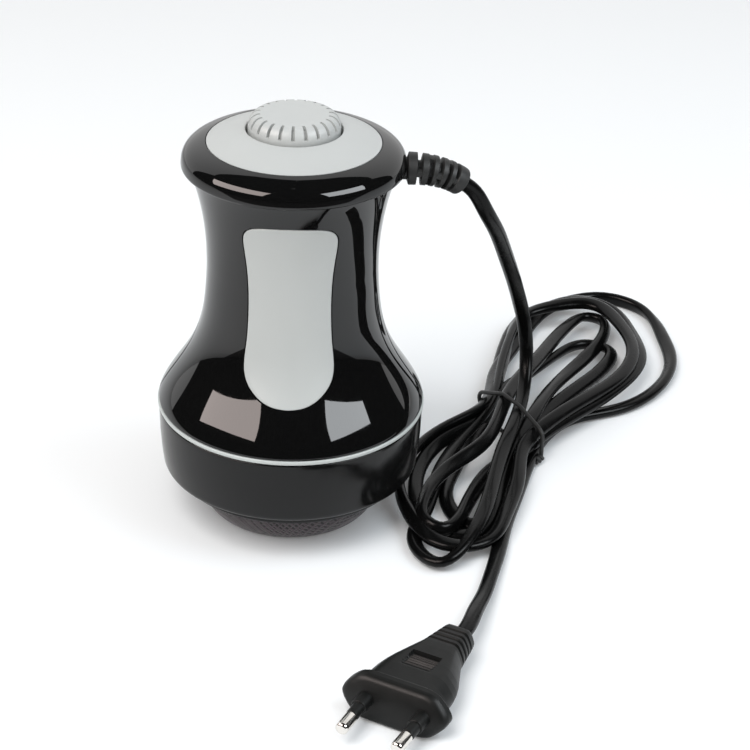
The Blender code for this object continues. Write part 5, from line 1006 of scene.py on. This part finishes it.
def relief_ring(point, direction, reach_at):
    """A ring of the relief round a point of its axis, with its radius at each angle."""
    across = unit(np.cross(np.array([0.0, 0.0, 1.0]), direction))
    up = np.cross(direction, across)
    angles = [FULL_TURN * index / RELIEF_COLUMNS for index in range(RELIEF_COLUMNS)]
    return [tuple(point + reach_at(angle) * (math.cos(angle) * across + math.sin(angle) * up))
            for angle in angles]


def ribbed_reach(angle, radius, level, side):
    """The relief's radius at an angle: down to its core in a gap, but for the bridges there."""
    turn = angle - QUARTER_TURN if side else angle
    away = abs(math.remainder(turn, math.pi))
    bridge = 1 - smoothstep((away - RELIEF_BRIDGES[side]) / RELIEF_BRIDGE_EDGE)
    kept = max(level, RELIEF_BRIDGE_SHARE * bridge)
    return RELIEF_CORE_RADIUS + (radius - RELIEF_CORE_RADIUS) * kept


def make_relief(finishes):
    """The rubber sleeve where the lead leaves the cap: ribs joined by bridges in turn."""
    rings = [relief_ring(np.array([start, 0.0, CORD_EXIT_HEIGHT]), relief_direction(0.0),
                         lambda angle: RELIEF_NECK_RADIUS) for start in RELIEF_NECK]
    for step in range(RELIEF_ROWS + 1):
        place = step / RELIEF_ROWS
        radius = RELIEF_FLANGE_RADIUS + (RELIEF_TIP_RADIUS - RELIEF_FLANGE_RADIUS) * place
        end = min(1.0, min(place, 1 - place) * RELIEF_LENGTH / RELIEF_END_ROUND)
        radius -= RELIEF_END_ROUND * (1 - math.sqrt(1 - (1 - end) ** 2))
        level, side = rib_level(place)
        rings.append(relief_ring(*relief_line(place),
                                 lambda angle: ribbed_reach(angle, radius, level, side)))
    relief = skinned("relief_sleeve", rings, finishes["rubber_black"])
    return settle(relief, "housing", "rubber_black", "strain_relief")


def plug_matrix():
    """Turns plug places (width, back from the face, up) into the scene's."""
    turn = Matrix.Rotation(PLUG_DIRECTION + QUARTER_TURN, 4, "Z")
    lift = PLUG_THICKNESS / 2 + PLUG_LIFT
    return Matrix.Translation((*PLUG_BASE, lift)) @ turn


def cord_knots():
    """The points that the lead passes through, from the relief by the hank to the plug."""
    tip, direction = relief_line(1.0)
    start = tip + direction * GAP
    placed = plug_matrix()
    end = np.array(placed @ Vector((PLUG_SWAY[1], PLUG_LENGTH - PLUG_FORWARD + GAP, 0.0)))
    inward = np.array(placed.to_3x3() @ Vector((0.0, -1.0, 0.0)))
    hank = [knot for half_turn in HANK_HALF_TURNS for knot in half_turn]
    return [start, start + direction * CORD_DIAMETER, *LEAD_ROUTE, *hank, *TAIL_ROUTE,
            end - inward * CORD_DIAMETER, end]


def even_steps(knots, step):
    """Points in even steps on the smooth curve through the knots, and how far along they are."""
    fine = spline_points(knots, lambda along: np.arange(0.0, along[-1], step / 4))
    fine = np.vstack([fine, knots[-1]])
    reach = np.concatenate([[0.0], np.cumsum(np.linalg.norm(np.diff(fine, axis=0), axis=1))])
    wanted = np.linspace(0.0, reach[-1], round(reach[-1] / step) + 1)
    return np.stack([np.interp(wanted, reach, fine[:, axis]) for axis in range(3)], axis=1), wanted


def directions_along(points):
    tangents = np.gradient(points, axis=0)
    return tangents / np.linalg.norm(tangents, axis=1)[:, None]


def carried_normals(tangents, first):
    """A normal for each tangent, turning as little as it can from one to the next."""
    normals = []
    normal = np.array(first)
    for tangent in tangents:
        normal = unit(normal - (normal @ tangent) * tangent)
        normals.append(normal)
    return np.array(normals)


def cord_section():
    """The flat lead's section: two half rounds joined by nearly flat sides."""
    section = []
    for side in (1, -1):
        for step in range(CORD_ARC_STEPS + 1):
            angle = math.pi * (step / CORD_ARC_STEPS - side / 2)
            section.append((side * CORD_ARC_CENTRE + CORD_THICKNESS / 2 * math.cos(angle),
                            CORD_THICKNESS / 2 * math.sin(angle)))
        section.append((0.0, side * CORD_THICKNESS * CORD_CROWN_SHARE))
    return section


def make_cord(finishes):
    """The mains lead in one piece, flat, and slowly twisting as it runs."""
    points, reach = even_steps(cord_knots(), CORD_STEP)
    tangents = directions_along(points)
    normals = carried_normals(tangents[::-1], (0.0, 0.0, 1.0))[::-1]
    length = reach[-1]
    rings = []
    path = []
    for point, tangent, normal, passed in zip(points, tangents, normals, reach):
        free = smoothstep(passed / TWIST_FADE) * smoothstep((length - passed) / TWIST_FADE)
        twist = sum(size * math.sin(FULL_TURN * passed / wave + phase)
                    for wave, size, phase in TWIST_WAVES) * free
        side = np.cross(tangent, normal)
        across = math.cos(twist) * side + math.sin(twist) * normal
        up = math.cos(twist) * normal - math.sin(twist) * side
        low = CORD_ARC_CENTRE * abs(across[2]) + CORD_THICKNESS / 2
        centre = np.array([point[0], point[1], max(point[2], low + CORD_FLOOR_GAP)])
        path.append(tuple(MM * centre))
        rings.append([tuple(centre + x * across + y * up) for x, y in cord_section()])
    cord = skinned("mains_lead", rings, finishes["cord_black"], CORD_SHARP_ANGLE)
    settle(cord, "housing", "cord_black", "lead_cord", "cord_hank", "tail_cord")
    return cord, path, points


def wire(name, points, radius, material, sides=12):
    """A round wire along points, with rounded ends."""
    points = np.array(points, float)
    tangents = directions_along(points)
    normals = carried_normals(tangents, (0.0, 0.0, 1.0))
    rings = []
    for index, (point, tangent, normal) in enumerate(zip(points, tangents, normals)):
        side = np.cross(tangent, normal)
        size = radius * (TIE_END_SHARE if index in (0, len(points) - 1) else 1.0)
        rings.append([tuple(point + size * (math.cos(angle) * side + math.sin(angle) * normal))
                      for angle in (FULL_TURN * step / sides for step in range(sides))])
    return skinned(name, rings, material)


def tie_crossings(line):
    """Where the cord passes through the tie's slanted plane: across the hank, and height."""
    found = []
    flat = line[:, :2] - HANK_CENTRE
    across = flat @ HANK_ACROSS
    past = flat @ HANK_ALONG - TIE_MIDDLE - TIE_SLOPE * across
    for index in range(len(line) - 1):
        if past[index] * past[index + 1] < 0 and line[index, 2] < TIE_HIGHEST:
            share = past[index] / (past[index] - past[index + 1])
            height = line[index, 2] + share * (line[index + 1, 2] - line[index, 2])
            place = across[index] + share * (across[index + 1] - across[index])
            found.append((float(place), float(height)))
    return found


def hull(points):
    """The points of the convex outline, in order, from the one with the least first value."""
    ordered = sorted(set(points))
    halves = []
    for run in (ordered, ordered[::-1]):
        half = []
        for point in run:
            while len(half) > 1 and (
                (half[-1][0] - half[-2][0]) * (point[1] - half[-2][1])
                - (half[-1][1] - half[-2][1]) * (point[0] - half[-2][0])
            ) <= 0:
                half.pop()
            half.append(point)
        halves += half[:-1]
    return halves


def tie_place(across, height, apart=0.0):
    """A place in the tie's slanted plane, or apart from it along the hank."""
    along = TIE_MIDDLE + TIE_SLOPE * across + apart
    return (*(HANK_CENTRE + along * HANK_ALONG + across * HANK_ACROSS), height)


def tie_pigtail(across, height, half_turn):
    """One end of the tie, which winds round the other toward the floor."""
    tail = []
    for step in range(1, TIE_PIGTAIL_STEPS + 1):
        share = step / TIE_PIGTAIL_STEPS
        angle = half_turn + FULL_TURN * TIE_TWISTS * share
        lowered = height + (TIE_PIGTAIL_HEIGHT - height) * share
        tail.append(tie_place(
            across + TIE_TWIST_RADIUS * math.cos(angle) - TIE_PIGTAIL_INWARD * share,
            lowered + TIE_TWIST_RADIUS * math.sin(angle), -TIE_PIGTAIL * share))
    return tail


def make_tie(finishes, cord_line):
    """The thin rubber-coated tie round the hank's waist, its ends twisted together."""
    clear = CORD_RADIUS + TIE_RADIUS + TIE_GAP
    circles = []
    for place, height in tie_crossings(cord_line):
        for index in range(TIE_CIRCLE_POINTS):
            angle = FULL_TURN * (index + 0.5) / TIE_CIRCLE_POINTS
            circles.append((place + clear * math.cos(angle),
                            max(height + clear * math.sin(angle), TIE_RADIUS + TIE_FLOOR_GAP)))
    loop = hull(circles)
    first = loop.index(max(loop, key=lambda place: place[0]))
    loop = loop[first:] + loop[:first]
    points = [*tie_pigtail(*loop[0], 0.0)[::-1], *(tie_place(*place) for place in loop),
              *tie_pigtail(*loop[0], math.pi)]
    tie = wire("tie_wire", points, TIE_RADIUS, finishes["rubber_black"])
    return settle(tie, "housing", "rubber_black", "twist_tie")


# Plug

def plug_outline():
    """Places on the plug's section: (width share, thickness share, column of its flat top)."""
    half = list(PLUG_SECTION_SHARES)
    corners = half + [(-x, -y) for x, y in half]
    outline = []
    columns = []
    for index, (x, y) in enumerate(corners):
        after_x, after_y = corners[(index + 1) % len(corners)]
        flat = (x, after_x) == (PLUG_FLAT_SHARE, -PLUG_FLAT_SHARE)
        count = PLUG_FLAT_COLUMNS if flat else PLUG_SIDE_COLUMNS
        for step in range(count):
            share = step / count
            outline.append((x + (after_x - x) * share, y + (after_y - y) * share))
            columns.append(PLUG_FLAT_COLUMNS / 2 - step if flat else None)
    smooth = np.array(outline)
    for _ in range(2):
        smooth = (np.roll(smooth, 1, axis=0) + 2 * smooth + np.roll(smooth, -1, axis=0)) / 4
    return [(x, y, column) for (x, y), column in zip(smooth, columns)]


def flat_place(column, half_width):
    """Where a column of the flat top lies, so that one column runs along the thumb patch."""
    end = PLUG_FLAT_SHARE * half_width
    edge = min(PATCH_HALF_WIDTH, PATCH_WIDTH_SHARE * end)
    place = np.interp(abs(column), (0, PATCH_COLUMN, PLUG_FLAT_COLUMNS / 2), (0.0, edge, end))
    return math.copysign(float(place), column)


def plug_stations():
    """Distances back from the plug's face, close together at its ribs and grooves."""
    stations = [share * PLUG_LENGTH for share, _, _ in PLUG_SHARES]
    stations += list(np.linspace(*PLUG_ROWS))
    for share in PLUG_GROOVES:
        stations += [share * PLUG_LENGTH + row * PLUG_GROOVE_WIDTH
                     for row in PLUG_GROOVE_ROW_SHARES]
    pitch = (PATCH_TO - PATCH_FROM) / PATCH_RIBS
    stations += [PATCH_FROM - PATCH_MARGIN, PATCH_TO + PATCH_MARGIN]
    stations += [PATCH_FROM + row * pitch / PATCH_RIB_ROWS
                 for row in range(PATCH_RIBS * PATCH_RIB_ROWS)]
    return sorted(set(round(place, 3) for place in stations))


def groove_depth(place):
    for share in PLUG_GROOVES:
        away = abs(place - share * PLUG_LENGTH) / PLUG_GROOVE_WIDTH
        if away < 0.5:
            wall = (away - PLUG_GROOVE_FLAT_SHARE) / (0.5 - PLUG_GROOVE_FLAT_SHARE)
            return PLUG_GROOVE_DEPTH * (1 - smoothstep(wall))
    return 0.0


def patch_sink(column, place):
    """How deep the ribbed thumb patch lies under the plug's top."""
    if column is None or abs(column) >= PATCH_COLUMN or not PATCH_FROM <= place <= PATCH_TO:
        return 0.0
    pitch = (PATCH_TO - PATCH_FROM) / PATCH_RIBS
    wave = math.sin(FULL_TURN * (place - PATCH_FROM) / pitch)
    slope = (place - PATCH_FROM) / (PATCH_TO - PATCH_FROM)
    rise = min(1.0, PATCH_RIB_RISE * slope)
    return PATCH_DEPTH * slope + PATCH_RIB_HEIGHT * (0.5 - 0.5 * wave) * rise


def make_plug_body(finishes, placed):
    """The moulded body with its thumb patch and grooved relief."""
    outline = plug_outline()
    shares, widths, heights = np.array(PLUG_SHARES).T
    rings = []
    for place in plug_stations():
        share = place / PLUG_LENGTH
        groove = groove_depth(place)
        width = float(np.interp(share, shares, widths)) * PLUG_WIDTH / 2 - groove
        height = float(np.interp(share, shares, heights)) * PLUG_THICKNESS / 2 - groove
        sway = PLUG_SWAY[0] + (PLUG_SWAY[1] - PLUG_SWAY[0]) * share
        lean = FACE_LEAN * height * (1 - smoothstep(place / FACE_LEAN_REACH))
        ring = []
        for x, y, column in outline:
            across = x * width if column is None else flat_place(column, width)
            ring.append(tuple(placed @ Vector((across + sway, place - PLUG_FORWARD + lean * y,
                                               y * height - patch_sink(column, place)))))
        rings.append(ring)
    body = skinned("plug_moulding", rings, finishes["plug_black"], PLUG_SHARP_ANGLE)
    return settle(body, "housing", "plug_black", "plug_body")


def make_pin(finishes, placed, number, side):
    """One pin and its sleeve, turned upright and then laid along the plug."""
    local = placed @ Matrix.Translation((side * PIN_SPACING / 2, -GAP, 0.0))
    local = local @ Matrix.Rotation(side * -PIN_TILT, 4, "Z")
    local = local @ Matrix.Rotation(QUARTER_TURN, 4, "X")
    pieces = []
    for name, line, slot, node_name in (
            ("pin_bright", rounded(PIN_CORNERS, PIN_ROUND_STEPS), "nickel", "plug_pin"),
            ("sleeve_tube", rounded(PIN_SLEEVE_CORNERS), "plug_black", "pin_sleeve")):
        piece = turned(f"{name}_{number}", line, finishes[slot], PIN_COLUMNS)
        for vertex in piece.data.vertices:
            vertex.co = (local @ (vertex.co / MM)) * MM
        pieces.append(settle(piece, "housing", slot, f"{node_name}_{number}"))
    return pieces


def make_plug(finishes):
    """The plug's body, its two pins and their sleeves."""
    placed = plug_matrix()
    return [make_plug_body(finishes, placed), *make_pin(finishes, placed, 1, -1),
            *make_pin(finishes, placed, 2, 1)]


# Camera, floor and light

def make_camera():
    """The camera at the place and angle fitted to the photograph."""
    level = math.cos(CAMERA_PITCH)
    forward = Vector((math.sin(CAMERA_YAW) * level, math.cos(CAMERA_YAW) * level,
                      -math.sin(CAMERA_PITCH)))
    right = Vector((math.cos(CAMERA_YAW), -math.sin(CAMERA_YAW), 0.0))
    up = right.cross(forward)
    rolled = math.cos(CAMERA_ROLL) * right + math.sin(CAMERA_ROLL) * up
    upright = math.cos(CAMERA_ROLL) * up - math.sin(CAMERA_ROLL) * right
    data = bpy.data.cameras.new("camera")
    data.lens = CAMERA_LENS
    data.sensor_width = CAMERA_SENSOR
    data.clip_start, data.clip_end = (MM * value for value in CAMERA_CLIPS)
    camera = new_object("camera", data)
    turn = Matrix((rolled, upright, -forward)).transposed().to_4x4()
    camera.matrix_world = Matrix.Translation(Vector(CAMERA_PLACE) * MM) @ turn
    bpy.context.scene.camera = camera


def rectangle(side, front, back, height):
    """The corners of a level rectangle."""
    return [(-side, front, height), (side, front, height), (side, back, height),
            (-side, back, height)]


def make_floor():
    """A plain white floor that keeps the object's shadow, slightly lifted for the camera."""
    white, tree, shader = new_material("white floor", {
        "Base Color": FLOOR_COLOUR, "Roughness": 0.6, "Specular IOR Level": 0.2,
        "Emission Color": WHITE})
    seen = tree.nodes.new("ShaderNodeLightPath").outputs["Is Camera Ray"]
    connect(tree, shader, {"Emission Strength": math_node(tree, "MULTIPLY", seen, FLOOR_LIFT)})
    floor = new_mesh("studio_floor", rectangle(FLOOR_REACH, -FLOOR_REACH, FLOOR_REACH, -FLOOR_DROP),
                     [(0, 1, 2, 3)], white)


def studio_place(azimuth, elevation, reach):
    """A place seen from the studio's centre."""
    level = math.cos(elevation) * reach
    return STUDIO_CENTRE + Vector((level * math.sin(azimuth), -level * math.cos(azimuth),
                                   math.sin(elevation) * reach))


def dark_surface(name, points, faces):
    """An unlit surface of the studio that only reflections show."""
    unlit = new_material(name.replace("_", " "), {"Base Color": DARK_COLOUR, "Roughness": 0.9})[0]
    surface = new_mesh(name, points, faces, unlit)
    surface.visible_camera = False
    surface.visible_diffuse = False
    surface.visible_shadow = False
    surface.visible_transmission = False


def make_dark_room():
    """The unlit room behind the camera, and the space beyond the paper's front edge."""
    points = []
    widens, full = DARK_WIDENS
    for elevation in np.linspace(DARK_LOW, DARK_HIGH, DARK_ROWS + 1):
        wider = smoothstep((elevation - widens) / (full - widens))
        side = DARK_SIDE + (math.pi - DARK_SIDE) * wider
        points += [studio_place(azimuth, elevation, DARK_REACH)
                   for azimuth in np.linspace(-side, side, DARK_COLUMNS + 1)]
    corners = [row * (DARK_COLUMNS + 1) + column
               for row in range(DARK_ROWS) for column in range(DARK_COLUMNS)]
    faces = [(corner, corner + 1, corner + DARK_COLUMNS + 2, corner + DARK_COLUMNS + 1)
             for corner in corners]
    dark_surface("dark_room", points, faces)
    dark_surface("dark_table", rectangle(DARK_REACH, -DARK_REACH, -PAPER_EDGE, 0.0),
                 [(0, 1, 2, 3)])


def make_dark_card():
    """A narrow unlit card at the right, which the body's gloss shows as a dark stripe."""
    points = []
    for left, left_height, right, right_height in DARK_CARD:
        for side, height in ((left, left_height), (right, right_height)):
            azimuth = math.radians(side)
            points.append((DARK_CARD_RADIUS * math.sin(azimuth),
                           -DARK_CARD_RADIUS * math.cos(azimuth), height))
    faces = [(row, row + 1, row + 3, row + 2) for row in range(0, len(points) - 2, 2)]
    dark_surface("dark_card", points, faces)


def area_light(name, angles, size, tint, radiance):
    """A soft rectangular light that faces the object."""
    azimuth, elevation, roll = (math.radians(angle) for angle in angles)
    data = bpy.data.lights.new(name, "AREA")
    data.shape = "RECTANGLE"
    data.size, data.size_y = (MM * value for value in size)
    data.color = tint
    data.energy = radiance * math.pi * data.size * data.size_y
    light = new_object(name, data)
    place = studio_place(azimuth, elevation, LIGHT_REACH)
    toward = (STUDIO_CENTRE - place).to_track_quat("-Z", "Y")
    light.location = place * MM
    light.rotation_euler = (toward.to_matrix() @ Matrix.Rotation(roll, 3, "Z")).to_euler()
    light.visible_camera = False
    return light


def make_lights():
    """Softboxes that only gloss shows, lights for all the rest, and an even white world."""
    for row in SOFTBOXES:
        area_light(*row).visible_diffuse = False
    for row in MATTE_LIGHTS:
        area_light(*row).visible_glossy = False
    world = bpy.data.worlds.new("white studio")
    bpy.context.scene.world = world
    world.use_nodes = True
    tree = world.node_tree
    light_path = tree.nodes.new("ShaderNodeLightPath")
    shown = highest(tree, [light_path.outputs[name] for name in (
        "Is Camera Ray", "Is Glossy Ray", "Is Transmission Ray")])
    level = node(tree, "ShaderNodeMapRange",
                 {"Value": shown, "To Min": WORLD_LIGHT, "To Max": WORLD_SHOWN})
    connect(tree, tree.nodes["Background"],
            {"Color": WHITE, "Strength": level.outputs["Result"]})


def main():
    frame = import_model()
    make_camera()
    finishes = make_finishes()
    dress_nodes(frame, finishes)
    cord, path, points = make_cord(finishes)
    relief = make_relief(finishes)
    tie = make_tie(finishes, points)
    plug = make_plug(finishes)
    make_body(finishes)
    make_foot(finishes)
    make_cover(finishes)
    make_cap(finishes)
    make_dial(finishes)
    make_floor()
    make_dark_room()
    make_dark_card()
    make_lights()
    bpy.context.scene.view_settings.view_transform = "Standard"


main()
